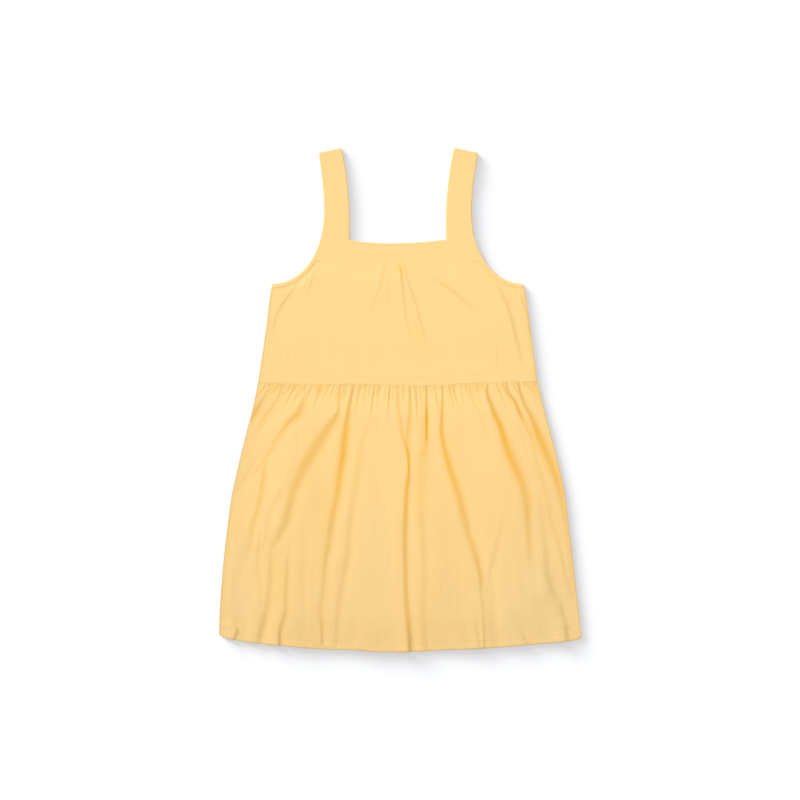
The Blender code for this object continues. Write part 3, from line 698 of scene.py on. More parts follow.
def front_bodice_top(x, y):
    side_left, side_right = x - bodice_left(y), bodice_right(y) - x
    side = np.minimum(side_left, side_right)
    drop = neckband_seam(x) - y
    above_band = y - waistband_top_seam(x)
    from_binding = armhole_distance(x, y) - BINDING_WIDTH
    below_arm = ease((UNDERARM[1] - 6 - y) / 6)
    creases, marks = crease_relief(x, y, BODICE_CREASES)

    middle = ease((drop + 2) / 40) * ease((above_band + 1) / 70)
    puff = (BODICE_HEIGHT - FRONT_FLOOR) * mix(0.3, 1.0, middle) * mix(0.25, 1.0, ease(side / 70))
    gather_puff = 0.9 * near(x - 4, 36) * ease(drop / 8) * (1 - ease((drop - 10) / 60))
    lumps = 0.3 * rumple(x, y, 60, 80, 11) + 0.15 * rumple(x, y, 24, 40, 12) + 0.07 * rumple(x, y, 8, 40, 13)
    z = FRONT_FLOOR + puff + gather_puff + lumps * ease(drop / 20) * ease(above_band / 20) - 0.15 * creases
    z = soft_floor(z, FRONT_FLOOR, 0.3)
    z = mix(NECK_SEAM_TOP, z, ease((drop + 0.5) / 2.4))
    z = mix(BAND_HEIGHT - 0.08, z, ease((above_band + 0.5) / 10))
    z = rolled_edge(z, side)
    z = mix(np.minimum(z, BOUND_TOP), z, ease((from_binding - 0.4) / 14))

    # Painted shade: a deeper yellow in the creases, at the right side under the arm and beside the bindings,
    # with broad patches; greyer along the left edge, in the lower creases and at the bindings.
    tone = mix(0.75, 0.36, ease(drop / 50)) * marks + painted_patch_shading(x, y, BODICE_PATCHES)
    tone = tone + 0.1 * below_arm * near(side_right, 6) + 0.15 * near(from_binding - 0.5, 1.6)
    dense = below_arm * left_edge_painted_shade(side_left) + 0.6 * ease((drop - 15) / 30) * marks
    dense = dense + 0.15 * near(from_binding, 1.2)
    return z, np.clip(tone, 0, 1), np.clip(dense, 0, 1)


def back_bodice_bottom(x, y):
    side = np.minimum(x - bodice_left(y), bodice_right(y) - x)
    z = 0.25 * (1 + rumple(x, y, 40, 70, 21)) * ease((side - 3) / 20)
    z = z + groove(neckband_seam(x) - y, 0.4, 1.4) + groove(y - waistband_top_seam(x), 0.4, 1.4)
    bound = ease((armhole_distance(x, y) - BINDING_WIDTH - 0.4) / 5)
    return mix(BOUND_BOTTOM, z, bound), np.zeros_like(z), np.zeros_like(z)


def front_waistband_top(x, y):
    side_left, side_right = x - bodice_left(y), bodice_right(y) - x
    up = y - waist_seam(x)
    down = waistband_top_seam(x) - y
    from_stitches = up - WAIST_STITCH_ABOVE
    z = BAND_HEIGHT + 0.10 * rumple(x, y, 26, 14, 31) + 0.04 * rumple(x, y, 7, 9, 32)
    pucker = 0.08 * np.sin(x * 0.9 + 1.5 * np.sin(x * 0.06)) * near(from_stitches, 4)
    z = z - groove(from_stitches, 0.10, 1.0) + pucker
    z = mix(SEAM_TOP, z, ease((up + 0.6) / 2.4)) - groove(down, 0.08, 1.2)
    z = rolled_edge(z, np.minimum(side_left, side_right))
    # Painted shade: a deeper yellow at the right edge; greyer along the left edge and under the top seam.
    return z, 0.1 * near(side_right, 6), left_edge_painted_shade(side_left) + 0.1 * near(down, 1.2)


def back_waistband_bottom(x, y):
    up = y - waist_seam(x)
    down = waistband_top_seam(x) - y
    z = groove(up, 0.5, 1.6) + groove(down, 0.4, 1.4) + groove(up - WAIST_STITCH_ABOVE, 0.35, 1.1)
    return z, np.zeros_like(z), np.zeros_like(z)


def neck_stitch_share(x):
    """1 along the neckline's stitches, fading to 0 past their ends."""
    return ease((NECK_STITCH_HALF - np.abs(x - CENTRE_X)) / 3)


def front_neckband_top(x, y):
    edge = neckline(x) - y
    down = y - neckband_seam(x)
    between_straps = np.abs(x - CENTRE_X) < 83
    stitched = neck_stitch_share(x)
    z = BAND_HEIGHT + 0.08 * rumple(x, y, 26, 14, 41) + 0.03 * rumple(x, y, 7, 9, 42)
    z = z - stitched * groove(edge - NECK_STITCH_BELOW, 0.22, 1.0)
    z = mix(NECK_SEAM_TOP, z, ease((down + 0.5) / 2.4))
    z = z - np.where(between_straps, folded_edge(edge, 1.1, 1.6), groove(strap_seam(x) - y, 0.35, 1.2))
    # Painted shade, greyer, along the neckline.
    return z, np.zeros_like(z), stitched * 0.4 * near(edge, 1.8)


def back_neckband_bottom(x, y):
    edge = neckline(x) - y
    z = groove(y - neckband_seam(x), 0.4, 1.4)
    z = z + neck_stitch_share(x) * groove(edge - NECK_STITCH_BELOW, 0.35, 1.1)
    return z, np.zeros_like(z), np.zeros_like(z)


# Mesh making

def new_mesh(name, points, faces):
    mesh = bpy.data.meshes.new(name)
    mesh.from_pydata((np.asarray(points) * MM).tolist(), [], faces)
    mesh.update()
    return mesh


def lay_flat(mesh, flat):
    """Gives the mesh its UV map, in metres. flat is each point's place on the flat cloth, in millimetres."""
    uv = mesh.uv_layers.new(name="cloth")
    corner = np.empty(len(mesh.loops), np.int32)
    mesh.loops.foreach_get("vertex_index", corner)
    uv.data.foreach_set("uv", (flat * MM)[corner].astype(np.float32).ravel())


def mark_points(mesh, kind, values):
    """Stores the amount of painted shade at each point, deeper yellow ("fold") or greyer ("dense"), for its
    material.
    """
    attribute = mesh.attributes.new(kind, "FLOAT", "POINT")
    attribute.data.foreach_set("value", values.astype(np.float32))


def link(name, mesh):
    piece = bpy.data.objects.new(name, mesh)
    bpy.context.scene.collection.objects.link(piece)
    return piece


def outward(piece):
    """Turns the faces of a closed piece outwards."""
    bpy.ops.object.select_all(action="DESELECT")
    piece.select_set(True)
    bpy.context.view_layer.objects.active = piece
    bpy.ops.object.mode_set(mode="EDIT")
    bpy.ops.mesh.select_all(action="SELECT")
    bpy.ops.mesh.normals_make_consistent(inside=False)
    bpy.ops.object.mode_set(mode="OBJECT")


def cloth_shell(name, x, y, face, outwards, thickness, flat_u, flat_v):
    """A closed thin shell of cloth.

    x and y are grids. face gives the outer face's height and its two amounts of painted shade, and outwards
    is 1 up or -1 down.
    flat_u and flat_v place each point on the flat cloth, for the weave.
    """
    rows, columns = x.shape
    z, fold, dense = face(x, y)
    outer = np.stack([x, y, z], -1)
    normal = np.cross(np.gradient(outer, axis=1), np.gradient(outer, axis=0))
    normal /= np.linalg.norm(normal, axis=-1, keepdims=True)
    normal *= np.sign(normal[..., 2:3])
    inner = outer - outwards * normal * np.broadcast_to(thickness, x.shape)[..., None]
    if outwards < 0:
        outer[..., 2] = np.maximum(outer[..., 2], 0)
    points = np.concatenate([outer.reshape(-1, 3), inner.reshape(-1, 3)])
    index = np.arange(rows * columns).reshape(rows, columns)
    quads = np.stack([index[1:, :-1], index[1:, 1:], index[:-1, 1:], index[:-1, :-1]], -1).reshape(-1, 4)
    if outwards < 0:
        quads = quads[:, ::-1]
    other = quads[:, ::-1] + rows * columns
    ring = np.concatenate([index[0, :-1], index[:-1, -1], index[-1, :0:-1], index[:0:-1, 0]])
    after = np.roll(ring, -1)
    rim = np.stack([ring, after, after + rows * columns, ring + rows * columns], -1)
    if outwards < 0:
        rim = rim[:, ::-1]
    mesh = new_mesh(name, points, np.concatenate([quads, other, rim]).tolist())
    flat = np.stack([np.broadcast_to(flat_u, x.shape), np.broadcast_to(flat_v, x.shape)], -1).reshape(-1, 2)
    lay_flat(mesh, np.concatenate([flat, flat]))
    mark_points(mesh, "fold", np.concatenate([fold.ravel(), fold.ravel()]))
    mark_points(mesh, "dense", np.concatenate([dense.ravel(), dense.ravel()]))
    mesh.shade_smooth()
    mesh.set_sharp_from_angle(angle=math.radians(55))
    return link(name, mesh)


def with_side_seams(cloth, side, share=1.0):
    """The thickness of the front's cloth, more at its side seams. share is 0 where there is no seam."""
    return np.maximum(cloth, SIDE_SEAM_THICKNESS * ease((2.5 - side) / 2) * share)


def steps(*spans):
    """Positions from spans of (end, spacing), starting at 0."""
    found = [0.0]
    for end, spacing in spans:
        count = max(1, round((end - found[-1]) / spacing))
        found += [mix(found[-1], end, (k + 1) / count) for k in range(count)]
    return np.array(found)


def skirt_panel(name, face, outwards, columns, rows_mm, flat_width):
    """rows_mm are the grid's rows, from the waist seam to the hem. They fan out with the sides."""
    rows = (rows_mm / rows_mm[-1])[:, None]
    u = np.linspace(-1, 1, columns + 1)
    top = waist_seam(np.interp(u, (-1, 0, 1), (WAIST_ROW.left, CENTRE_X, WAIST_ROW.right)))
    bottom = hem_edge(np.interp(u, (-1, 0, 1), (-HEM_HALF, 0, HEM_HALF)))
    y = mix(top, bottom, rows)
    left, right = skirt_left(y), skirt_right(y)
    middle = CENTRE_X * (1 - rows)
    x = np.where(u < 0, middle + (middle - left) * u, middle + (right - middle) * u)
    in_hem = ease((HEM_STITCH_ABOVE + 1.5 - (y - hem_edge(x))) / 1.5)
    thickness = mix(CLOTH, TURNED_CLOTH, in_hem)
    if outwards > 0:
        thickness = with_side_seams(thickness, np.minimum(x - skirt_left(y), skirt_right(y) - x))
    flat_u = np.linspace(-0.5, 0.5, columns + 1) * flat_width
    return cloth_shell(name, x, y, face, outwards, thickness, flat_u, y)


def bodice_panel(name, face, outwards, columns, count_side, count_hole):
    """Grid rows run from the waistband up the side seams and round the armholes to the neckband."""
    inset = BINDING_WIDTH - IN_BINDING
    start = armhole_start(inset, np.linspace(0.2, 0.6, 400))
    hole = [armhole(share, inset) for share in np.linspace(1.0, start, count_hole)]
    corner_y = hole[0][1]
    low_left, low_right = (float(waistband_top_seam(x)) for x in BAND_TOP_SPAN)
    left, right = [], []
    for k in range(count_side):
        y_left, y_right = mix(low_left, corner_y, k / count_side), mix(low_right, corner_y, k / count_side)
        left.append((float(bodice_left(y_left)), y_left))
        right.append((float(bodice_right(y_right)), y_right))
    for half, y in hole:
        left.append((CENTRE_X - half, y))
        right.append((CENTRE_X + half, y))
    left, right = np.array(left), np.array(right)
    u = np.linspace(-1, 1, columns + 1)
    x = np.where(u < 0, CENTRE_X + (CENTRE_X - left[:, :1]) * u, CENTRE_X + (right[:, :1] - CENTRE_X) * u)
    middle = mix(waistband_top_seam(x[0]), neckband_seam(x[-1]), np.linspace(0, 1, len(left))[:, None])
    pull_left = (left[:, 1:] - middle[:, :1]) * np.clip(-u, 0, 1) ** 2
    pull_right = (right[:, 1:] - middle[:, -1:]) * np.clip(u, 0, 1) ** 2
    y = middle + pull_left + pull_right
    thickness = np.full(x.shape, CLOTH)
    if outwards > 0:
        side = np.minimum(x - bodice_left(y), bodice_right(y) - x)
        below_arm = ease((UNDERARM[1] - 6 - y) / 6)
        thickness = with_side_seams(thickness, side, below_arm)
    return cloth_shell(name, x[::-1], y[::-1], face, outwards, thickness[::-1], x[::-1], y[::-1])


def waistband(name, face, outwards):
    stitched = WAISTBAND_HEIGHT - WAIST_STITCH_ABOVE
    rows = steps(
        (3, 0.6), (stitched - 2, 2.2), (stitched + 2, 0.5),
        (WAISTBAND_HEIGHT - 3, 2.2), (WAISTBAND_HEIGHT, 0.6),
    )
    u = np.linspace(0, 1, 241)
    along = mix(WAIST_ROW.left, WAIST_ROW.right, u)
    y = mix(waistband_top_seam(along), waist_seam(along), (rows / rows[-1])[:, None])
    x = mix(bodice_left(y), bodice_right(y), u)
    thickness = np.full(x.shape, TURNED_CLOTH)
    if outwards > 0:
        thickness = with_side_seams(thickness, np.minimum(x - bodice_left(y), bodice_right(y) - x))
    return cloth_shell(name, x, y, face, outwards, thickness, x, y)


def neckband(name, face, outwards):
    """The band has the neckline and the strap seams on top, the ends of the armholes beside it."""
    foot = STRAP_INNER_FOOT[0]
    height = STRAP_OUTER_FOOT[1] - armhole(BAND_END_SHARE)[1]
    x, y = [], []
    for share in np.linspace(0, 1, 26):
        end_half, end_y = armhole(BAND_END_SHARE * share)
        half = np.concatenate([np.linspace(0, foot, 71), np.linspace(foot, end_half, 31)[1:]])
        row = CENTRE_X + np.concatenate([-half[::-1], half[1:]])
        top = np.where(np.abs(row - CENTRE_X) <= foot, neckline(row), strap_seam(row))
        x.append(row)
        y.append(mix(top, neckband_seam(row), (STRAP_OUTER_FOOT[1] - end_y) / height))
    x, y = np.array(x), np.array(y)
    return cloth_shell(name, x, y, face, outwards, TURNED_CLOTH, x, y)


def round_end(middle, radius, height, turns, side):
    """Points of a half circle round an edge: side is -1 for the near edge, 1 for the far one."""
    return [(middle + side * radius * math.sin(a), height - side * radius * math.cos(a)) for a in turns]


def tube_section(width):
    """A flattened tube, as a strap is sewn and turned: (across, height) points round it."""
    r = STRIP_THICKNESS / 2
    span = [mix(r, width - r, k / 18) for k in range(19)]
    turns = [math.pi * k / 4 for k in range(1, 4)]
    near_end = round_end(r, r, r, turns, -1)
    far_end = round_end(width - r, r, r, turns, 1)
    return [(w, 0.0) for w in span] + far_end + [(w, STRIP_THICKNESS) for w in reversed(span)] + near_end


def folded_section(width):
    """A strip folded lengthwise over an edge, open on its far side."""
    r = STRIP_THICKNESS / 2
    bore = r - STRIP_LEG
    span = [mix(r, width, k / 5) for k in range(6)]
    turns = [math.pi * k / 5 for k in range(1, 5)]
    back = list(reversed(span))
    outside = [(w, STRIP_THICKNESS) for w in back] + round_end(r, r, r, turns, -1)
    inside = [(r - bore * math.sin(a), r - bore * math.cos(a)) for a in turns]
    inside += [(w, STRIP_THICKNESS - STRIP_LEG) for w in span]
    return outside + [(w, 0.0) for w in span] + [(w, STRIP_LEG) for w in back] + inside


def folded_band(name, outer, inner, ahead, section):
    """A flat tube of cloth that runs along the ground, turns over, and comes back on top of itself.

    outer and inner are its edges, from the seam to the turn. ahead is its direction at the turn.
    """
    radius = STRIP_THICKNESS + 0.1
    outer, inner = np.asarray(outer, float), np.asarray(inner, float)
    outer = np.concatenate([outer[:-1], outer[-1:] - ahead * radius])
    inner = np.concatenate([inner[:-1], inner[-1:] - ahead * radius])
    rows = len(outer)
    turn = [math.pi * k / 10 for k in range(1, 10)]
    places = list(range(rows)) + [rows - 1] * len(turn) + list(range(rows - 1, -1, -1))
    angles = [0.0] * rows + turn + [math.pi] * rows
    points, flat, travelled, before = [], [], 0.0, None
    for k, angle in zip(places, angles):
        a, b = outer[k], inner[k]
        width = np.linalg.norm(b - a)
        to_inner = np.array([*((b - a) / width), 0])
        up = np.array([-ahead[0] * math.sin(angle), -ahead[1] * math.sin(angle), math.cos(angle)])
        start = np.array([a[0], a[1], radius]) - up * radius
        middle = (a + b) / 2
        if before is not None:
            travelled += np.linalg.norm(middle - before)
        if 0 < angle < math.pi:
            travelled += radius * math.pi / 10
        before = middle
        for across_mm, height in section(width):
            points.append(start + to_inner * across_mm + up * height)
            flat.append((across_mm, travelled))
    points, flat = np.array(points), np.array(flat)
    ring = len(points) // len(places)
    on_top = np.repeat(np.array(angles) > 3, ring) & (points[:, 2] > 2 * radius - 0.35)
    relief = 0.14 * rumple(points[:, 0], points[:, 1], 16, 22, 51)
    relief = relief + 0.06 * rumple(points[:, 0], points[:, 1], 6, 9, 52)
    points[:, 2] += np.where(on_top, relief, 0)
    quads = []
    for s in range(len(places) - 1):
        for j in range(ring):
            n = (j + 1) % ring
            quads.append((s * ring + j, s * ring + n, (s + 1) * ring + n, (s + 1) * ring + j))
    quads.append(tuple(range(ring - 1, -1, -1)))
    quads.append(tuple(range(len(points) - ring, len(points))))
    mesh = new_mesh(name, points, quads)
    lay_flat(mesh, flat)
    dense = np.zeros(len(places))
    dense[rows + 1 : rows + 7] = 0.6  # painted shade where the cloth turns over
    mark_points(mesh, "fold", np.zeros(len(points)))
    mark_points(mesh, "dense", np.repeat(dense, ring))
    piece = link(name, mesh)
    outward(piece)
    piece.data.shade_smooth()
    piece.data.set_sharp_from_angle(angle=math.radians(60))
    return piece


def strap(name, side):
    along = np.linspace(0, 1, 60)
    edges = {}
    for column in StrapRow._fields[1:]:
        edges[column] = smooth_curve([(row.along, getattr(row, column)) for row in STRAP_ROWS])(along)
    outer_half = edges["outer_half"] + (edges["right_wider"] if side > 0 else 0)
    outer = np.stack([CENTRE_X + side * outer_half, edges["outer_y"]], -1)
    inner = np.stack([CENTRE_X + side * edges["inner_half"], edges["inner_y"]], -1)
    across = inner[-1] - outer[-1]
    across /= np.linalg.norm(across)
    ahead = np.array([across[1], -across[0]]) * side
    return folded_band(name, outer, inner, ahead, tube_section)


def armhole_binding(name, side):
    edges = []
    for inset in (0.0, BINDING_WIDTH):
        start = armhole_start(inset, np.linspace(0.15, 0.6, 500))
        places = [armhole(share, inset) for share in np.linspace(start, 1.0, 48)]
        edges.append([(CENTRE_X + side * half, y) for half, y in places])
    return folded_band(name, *edges, np.array([side, 0.0]), folded_section)


def stitches(name, x, y, height, outwards):
    """A row of stitches along x, y, each a short bent thread that sinks into the cloth at its ends."""
    lengths = np.concatenate([[0], np.cumsum(np.hypot(np.diff(x), np.diff(y)))])
    pitch = STITCH_LENGTH + STITCH_GAP
    sides, parts = 5, len(STITCH_ARCH) - 1
    points, faces = [], []
    for k in range(int(lengths[-1] // pitch)):
        at = k * pitch + STITCH_GAP / 2 + np.linspace(0, STITCH_LENGTH, parts + 1)
        px, py = np.interp(at, lengths, x), np.interp(at, lengths, y)
        pz = height(px, py) + np.array(STITCH_ARCH) * outwards
        along = np.array([px[-1] - px[0], py[-1] - py[0]])
        along /= np.linalg.norm(along)
        base = len(points)
        for i in range(parts + 1):
            radius = THREAD / 2 * (0.75 if i in (0, parts) else 1.0)
            for j in range(sides):
                turned = 2 * math.pi * j / sides
                off, up = math.cos(turned) * radius, math.sin(turned) * radius
                points.append((px[i] - along[1] * off, py[i] + along[0] * off, pz[i] + up))
        for i in range(parts):
            a = base + i * sides
            for j in range(sides):
                n = (j + 1) % sides
                faces.append((a + j, a + n, a + sides + n, a + sides + j))
        faces.append(tuple(base + j for j in range(sides)))
        faces.append(tuple(base + parts * sides + j for j in range(sides - 1, -1, -1)))
    piece = link(name, new_mesh(name, points, faces))
    outward(piece)
    piece.data.shade_smooth()
    piece.data.materials.append(thread)
    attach(piece, "root")


# Materials

COTTON_LOW = "#F9D490"
COTTON_HIGH = "#FBD795"
COTTON_FOLD_PAINTED_SHADE = "#F9B624"  # painted shade in creases and gathers, a deeper yellow like light that has passed from cloth to cloth
COTTON_PAINTED_SHADE = "#D0B784"  # painted shade, greyer, along seams, edges and gathers and where straps and bindings turn over
THREAD_LOW = "#F2CA84"
THREAD_HIGH = "#F9D796"
PAPER = "#F9FAFC"


def linear(hex_colour):
    """An sRGB hex colour as linear RGBA."""
    values = [int(hex_colour[k : k + 2], 16) / 255 for k in (1, 3, 5)]
    return (*[v / 12.92 if v <= 0.04045 else ((v + 0.055) / 1.055) ** 2.4 for v in values], 1.0)


def add_node(tree, kind, settings=None, links=None):
    """Adds a node, with its settings and input values or links by socket name or number."""
    node = tree.nodes.new(kind)
    for name, value in (settings or {}).items():
        setattr(node, name, value)
    for name, value in (links or {}).items():
        if isinstance(value, bpy.types.NodeSocket):
            tree.links.new(value, node.inputs[name])
        else:
            node.inputs[name].default_value = value
    return node


def empty_material(name):
    material = bpy.data.materials.new(name)
    material.use_nodes = True
    material.node_tree.nodes.clear()
    return material, material.node_tree


def woven_cotton(name, warp_along_v=True):
    """Light plain-woven cotton: matt, with a few uneven warp threads, and with painted shade: a deeper yellow
    where it folds, a greyer yellow at seams, edges and gathers.
    """
    material, tree = empty_material(name)
    uv = add_node(tree, "ShaderNodeUVMap", {"uv_map": "cloth"}).outputs[0]
    parts = add_node(tree, "ShaderNodeSeparateXYZ", links={0: uv})
    u, v = (parts.outputs[0], parts.outputs[1]) if warp_along_v else (parts.outputs[1], parts.outputs[0])
    place = add_node(tree, "ShaderNodeCombineXYZ", links={0: u, 1: v}).outputs[0]

    # The real threads are 0.3 mm apart. They are drawn 0.9 mm apart, so that they show up close.
    phase = add_node(
        tree, "ShaderNodeVectorMath", {"operation": "SCALE"}, {0: place, "Scale": math.pi / 0.0009}
    ).outputs[0]
    wave = add_node(tree, "ShaderNodeVectorMath", {"operation": "SINE"}, {0: phase}).outputs[0]
    waves = add_node(tree, "ShaderNodeSeparateXYZ", links={0: wave})
    over = add_node(
        tree, "ShaderNodeMath", {"operation": "MULTIPLY"}, {0: waves.outputs[0], 1: waves.outputs[1]}
    ).outputs[0]
    crown = add_node(tree, "ShaderNodeVectorMath", {"operation": "ABSOLUTE"}, {0: wave}).outputs[0]
    crowns = add_node(tree, "ShaderNodeSeparateXYZ", links={0: crown})
    warp = add_node(
        tree, "ShaderNodeMath", {"operation": "MULTIPLY_ADD"}, {0: over, 1: 0.35, 2: crowns.outputs[0]}
    ).outputs[0]
    weft = add_node(
        tree, "ShaderNodeMath", {"operation": "MULTIPLY_ADD"}, {0: over, 1: -0.35, 2: crowns.outputs[1]}
    ).outputs[0]
    weave = add_node(tree, "ShaderNodeMath", {"operation": "MAXIMUM"}, {0: warp, 1: weft}).outputs[0]

    # Uneven warp threads, about 4 mm apart and 120 mm long
    slub_place = add_node(tree, "ShaderNodeMapping", links={0: place, 3: (260.0, 8.0, 1.0)}).outputs[0]
    slub = add_node(
        tree, "ShaderNodeTexNoise", links={0: slub_place, "Scale": 1.0, "Detail": 2.0, "Roughness": 0.5}
    ).outputs[0]
    # Crumple of washed cotton, about 14 mm by 22 mm and finer
    crumple_place = add_node(tree, "ShaderNodeMapping", links={0: place, 3: (70.0, 45.0, 1.0)}).outputs[0]
    crumple = add_node(
        tree, "ShaderNodeTexNoise",
        links={0: crumple_place, "Scale": 1.0, "Detail": 3.0, "Roughness": 0.5, "Distortion": 0.6},
    ).outputs[0]

    slub_share = add_node(tree, "ShaderNodeMapRange", links={0: slub, 1: 0.3, 2: 0.7}).outputs[0]
    dye = add_node(
        tree, "ShaderNodeMix", {"data_type": "RGBA"},
        {0: slub_share, 6: linear(COTTON_LOW), 7: linear(COTTON_HIGH)},
    ).outputs[2]
    # Painted shade: the colour turns towards a deeper yellow where the fold amount is high, and towards a
    # greyer dark yellow where the dense amount is high.
    fold = add_node(tree, "ShaderNodeAttribute", {"attribute_name": "fold"}).outputs["Fac"]
    deep = add_node(
        tree, "ShaderNodeMath", {"operation": "ADD", "use_clamp": True}, {0: fold, 1: 0.09}
    ).outputs[0]
    folded = add_node(
        tree, "ShaderNodeMix", {"data_type": "RGBA"}, {0: deep, 6: dye, 7: linear(COTTON_FOLD_PAINTED_SHADE)}
    ).outputs[2]
    dense = add_node(tree, "ShaderNodeAttribute", {"attribute_name": "dense"}).outputs["Fac"]
    colour = add_node(
        tree, "ShaderNodeMix", {"data_type": "RGBA"}, {0: dense, 6: folded, 7: linear(COTTON_PAINTED_SHADE)}
    ).outputs[2]

    # Heights in metres: 0.04 mm of weave, 0.06 mm of uneven threads, 0.2 mm of crumple
    height = add_node(tree, "ShaderNodeMath", {"operation": "MULTIPLY"}, {0: weave, 1: 0.00004}).outputs[0]
    height = add_node(
        tree, "ShaderNodeMath", {"operation": "MULTIPLY_ADD"}, {0: slub, 1: 0.00006, 2: height}
    ).outputs[0]
    height = add_node(
        tree, "ShaderNodeMath", {"operation": "MULTIPLY_ADD"}, {0: crumple, 1: 0.0002, 2: height}
    ).outputs[0]
    bump = add_node(
        tree, "ShaderNodeBump", links={"Height": height, "Strength": 1.0, "Distance": 1.0}
    ).outputs[0]
    shader = add_node(tree, "ShaderNodeBsdfPrincipled", links={
        "Base Color": colour, "Roughness": 0.88, "Specular IOR Level": 0.2,
        "Sheen Weight": 0.05, "Sheen Roughness": 0.5, "Normal": bump,
    })
    add_node(tree, "ShaderNodeOutputMaterial", links={0: shader.outputs[0]})
    return material


def sewing_thread():
    """Spun polyester thread: a little glossier than the cloth, twisted, dyed to match."""
    material, tree = empty_material("spun_polyester_thread")
    place = add_node(tree, "ShaderNodeTexCoord").outputs["Object"]
    twist = add_node(tree, "ShaderNodeTexNoise", links={0: place, "Scale": 2500.0, "Detail": 2.0}).outputs[0]
    colour = add_node(
        tree, "ShaderNodeMix", {"data_type": "RGBA"},
        {0: twist, 6: linear(THREAD_LOW), 7: linear(THREAD_HIGH)},
    ).outputs[2]
    bump = add_node(
        tree, "ShaderNodeBump", links={"Height": twist, "Strength": 0.4, "Distance": 0.0001}
    ).outputs[0]
    shader = add_node(
        tree, "ShaderNodeBsdfPrincipled", links={"Base Color": colour, "Roughness": 0.6, "Normal": bump}
    )
    add_node(tree, "ShaderNodeOutputMaterial", links={0: shader.outputs[0]})
    return material


def white_paper():
    """Matt white paper: no gloss, with a fine tooth."""
    material, tree = empty_material("matt_white_paper")
    place = add_node(tree, "ShaderNodeTexCoord").outputs["Object"]
    tooth = add_node(tree, "ShaderNodeTexNoise", links={0: place, "Scale": 900.0}).outputs[0]
    bump = add_node(
        tree, "ShaderNodeBump", links={"Height": tooth, "Strength": 0.02, "Distance": 0.0001}
    ).outputs[0]
    shader = add_node(tree, "ShaderNodeBsdfPrincipled", links={
        "Base Color": linear(PAPER), "Roughness": 1.0, "Specular IOR Level": 0.0, "Normal": bump,
    })
    add_node(tree, "ShaderNodeOutputMaterial", links={0: shader.outputs[0]})
    return material


# Making the dress

cotton = woven_cotton("plain_woven_cotton")
# The waistbands and neckbands are cut crosswise.
cotton_across = woven_cotton("plain_woven_cotton_crosswise", warp_along_v=False)
thread = sewing_thread()


def dress_piece(piece, node, material):
    """Finishes a cloth piece."""
    piece.data.materials.append(material)
    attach(piece, "root")
    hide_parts(node)


SKIRT_ROWS = steps((3, 0.6), (24, 1.6), (90, 3.3), (440, 6.7), (450, 2), (459, 1.0), (465, 1.5), (467, 0.4))
BACK_ROWS = steps((24, 2.0), (90, 5), (440, 12), (449, 3), (458, 1.2), (467, 2.0))
front_skirt = skirt_panel("front_skirt_cloth", front_skirt_top, 1, 412, SKIRT_ROWS, 680)
back_skirt = skirt_panel("back_skirt_cloth", back_skirt_bottom, -1, 200, BACK_ROWS, 660)
front_bodice = bodice_panel("front_bodice_cloth", front_bodice_top, 1, 300, 90, 50)
back_bodice = bodice_panel("back_bodice_cloth", back_bodice_bottom, -1, 110, 40, 24)
front_waistband = waistband("front_waistband_cloth", front_waistband_top, 1)
back_waistband = waistband("back_waistband_cloth", back_waistband_bottom, -1)
front_neckband = neckband("front_neckband_cloth", front_neckband_top, 1)
back_neckband = neckband("back_neckband_cloth", back_neckband_bottom, -1)

dress_piece(back_skirt, "back_skirt", cotton)
dress_piece(front_skirt, "front_skirt", cotton)
dress_piece(back_bodice, "back_bodice", cotton)
dress_piece(front_bodice, "front_bodice", cotton)
dress_piece(back_waistband, "back_waistband", cotton_across)
dress_piece(front_waistband, "front_waistband", cotton_across)
dress_piece(back_neckband, "back_neckband", cotton_across)
dress_piece(
    front_neckband, "front_neckband", cotton_across
)
for side_name, side in (("left", -1), ("right", 1)):
    one_strap = strap(f"{side_name}_strap_cloth", side)
    dress_piece(one_strap, f"{side_name}_strap", cotton)
    binding = armhole_binding(f"{side_name}_armhole_binding_cloth", side)
    dress_piece(binding, f"{side_name}_armhole_binding", cotton)

# Rows of stitches on the front and, facing down, the same rows on the back. Those lie a little deeper in the
# cloth, clear of the ground.
STITCH_ROWS = (
    ("hem", -312.0, 312.0, hem_edge, HEM_STITCH_ABOVE, front_skirt_top, back_skirt_bottom),
    ("waistband", -246.0, 238.0, waist_seam, WAIST_STITCH_ABOVE, front_waistband_top, back_waistband_bottom),
    ("neckline", -86.0, 78.0, neckline, -NECK_STITCH_BELOW, front_neckband_top, back_neckband_bottom),
)
for row_name, first_x, last_x, edge, above, top_face, bottom_face in STITCH_ROWS:
    row_x = mix(first_x, last_x, np.linspace(0, 1, 400))
    row_y = edge(row_x) + above
    stitches(f"front_{row_name}_stitches", row_x, row_y, lambda px, py: top_face(px, py)[0], 1)
    stitches(f"back_{row_name}_stitches", row_x, row_y, lambda px, py: bottom_face(px, py)[0] + 0.12, -1)

# Studio

bpy.ops.object.select_all(action="DESELECT")
bpy.ops.mesh.primitive_plane_add(size=8.0, location=(0, 0, -0.0002))
floor = bpy.context.object
floor.name = "paper_floor"
floor.data.materials.append(white_paper())
floor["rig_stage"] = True


def softbox(name, light, towards, lit):
    """Places a light that shines from this direction and lights only what is in lit."""
    lamp = bpy.data.objects.new(name, light)
    lamp.rotation_mode = "QUATERNION"
    lamp.rotation_quaternion = Vector(towards).to_track_quat("Z", "Y")
    bpy.context.scene.collection.objects.link(lamp)
    receivers = bpy.data.collections.new(f"lit_by_{name}")
    for obj in lit:
        receivers.objects.link(obj)
    lamp.light_linking.receiver_collection = receivers
    return lamp


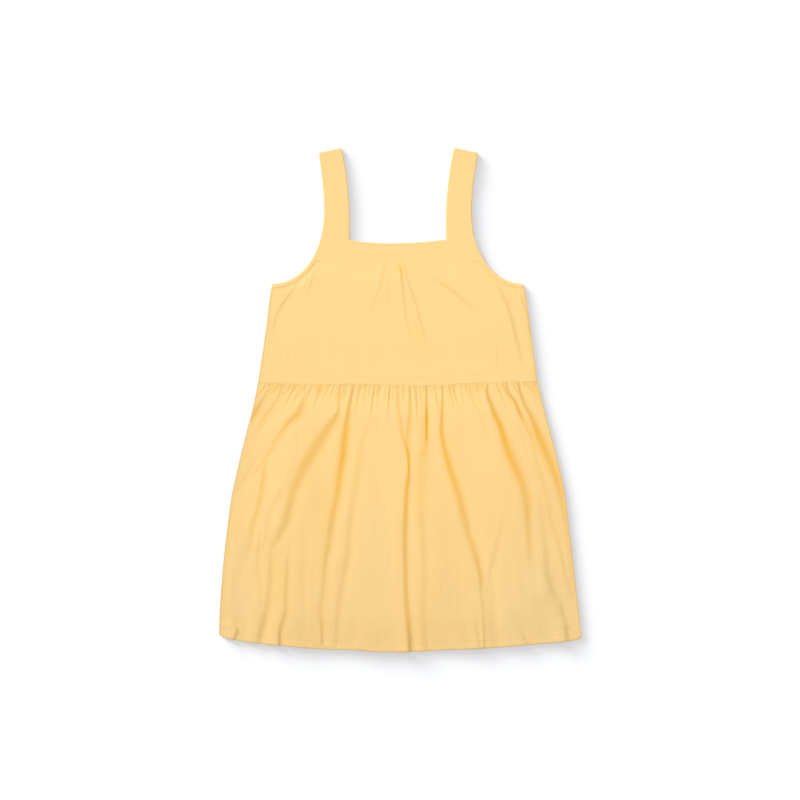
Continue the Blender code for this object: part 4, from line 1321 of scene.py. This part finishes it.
def far_softbox(name, azimuth, elevation, spread, brightness, lit):
    """An even light from far away. azimuth is where it comes from, in degrees from +X towards +Y."""
    a, e = math.radians(azimuth), math.radians(elevation)
    light = bpy.data.lights.new(name, "SUN")
    light.energy = brightness * math.pi / math.sin(e)
    light.angle = math.radians(spread)
    softbox(name, light, (math.cos(a) * math.cos(e), math.sin(a) * math.cos(e), math.sin(e)), lit)


# How bright each light makes a level white surface, where 1 is white
DOME = 0.47
KEY = 0.36
FLOOR_KEY = 0.34
FLOOR_FILL = 0.258
# The nearer light over the dress
UPPER_WATTS = 2.9
UPPER_PLACE = (0.0, 0.25, 1.0)

world = bpy.data.worlds.new("white_room")
world.use_nodes = True
world.node_tree.nodes["Background"].inputs[0].default_value = (1, 1, 1, 1)
world.node_tree.nodes["Background"].inputs[1].default_value = DOME
bpy.context.scene.world = world
cloth_pieces = [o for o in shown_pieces() if not o.get("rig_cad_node")]
far_softbox("key_softbox", 136, 32, 24, KEY, cloth_pieces)
far_softbox("paper_softbox", 90, 89, 70, FLOOR_FILL, [floor])
# The dress's soft shadow on the paper comes from three low lights, so that it fades out without a hard end.
far_softbox("low_softbox_1", 128, 6.7, 8, 0.3 * FLOOR_KEY, [floor])
far_softbox("low_softbox_2", 146, 6.7, 8, 0.3 * FLOOR_KEY, [floor])
far_softbox("middle_softbox", 137, 14.0, 17, 0.4 * FLOOR_KEY, [floor])
overhead = bpy.data.lights.new("upper_softbox", "AREA")
overhead.shape = "SQUARE"
overhead.size = 0.6
overhead.energy = UPPER_WATTS
softbox("upper_softbox", overhead, (0, 0, 1), cloth_pieces).location = UPPER_PLACE

# Camera, straight above. The photograph's frame spans 1.4 m at the dress.
CAMERA_HEIGHT = 5.0
DRESS_HEIGHT = 0.005
FRAME_SPAN = 1.4
camera_data = bpy.data.cameras.new("camera")
camera_data.sensor_width = 36.0
camera_data.lens = camera_data.sensor_width * (CAMERA_HEIGHT - DRESS_HEIGHT) / FRAME_SPAN
camera_data.clip_end = 50
camera = bpy.data.objects.new("camera", camera_data)
camera.location = (0, 0, CAMERA_HEIGHT)
bpy.context.scene.collection.objects.link(camera)
bpy.context.scene.camera = camera
bpy.context.scene.view_settings.view_transform = "Standard"
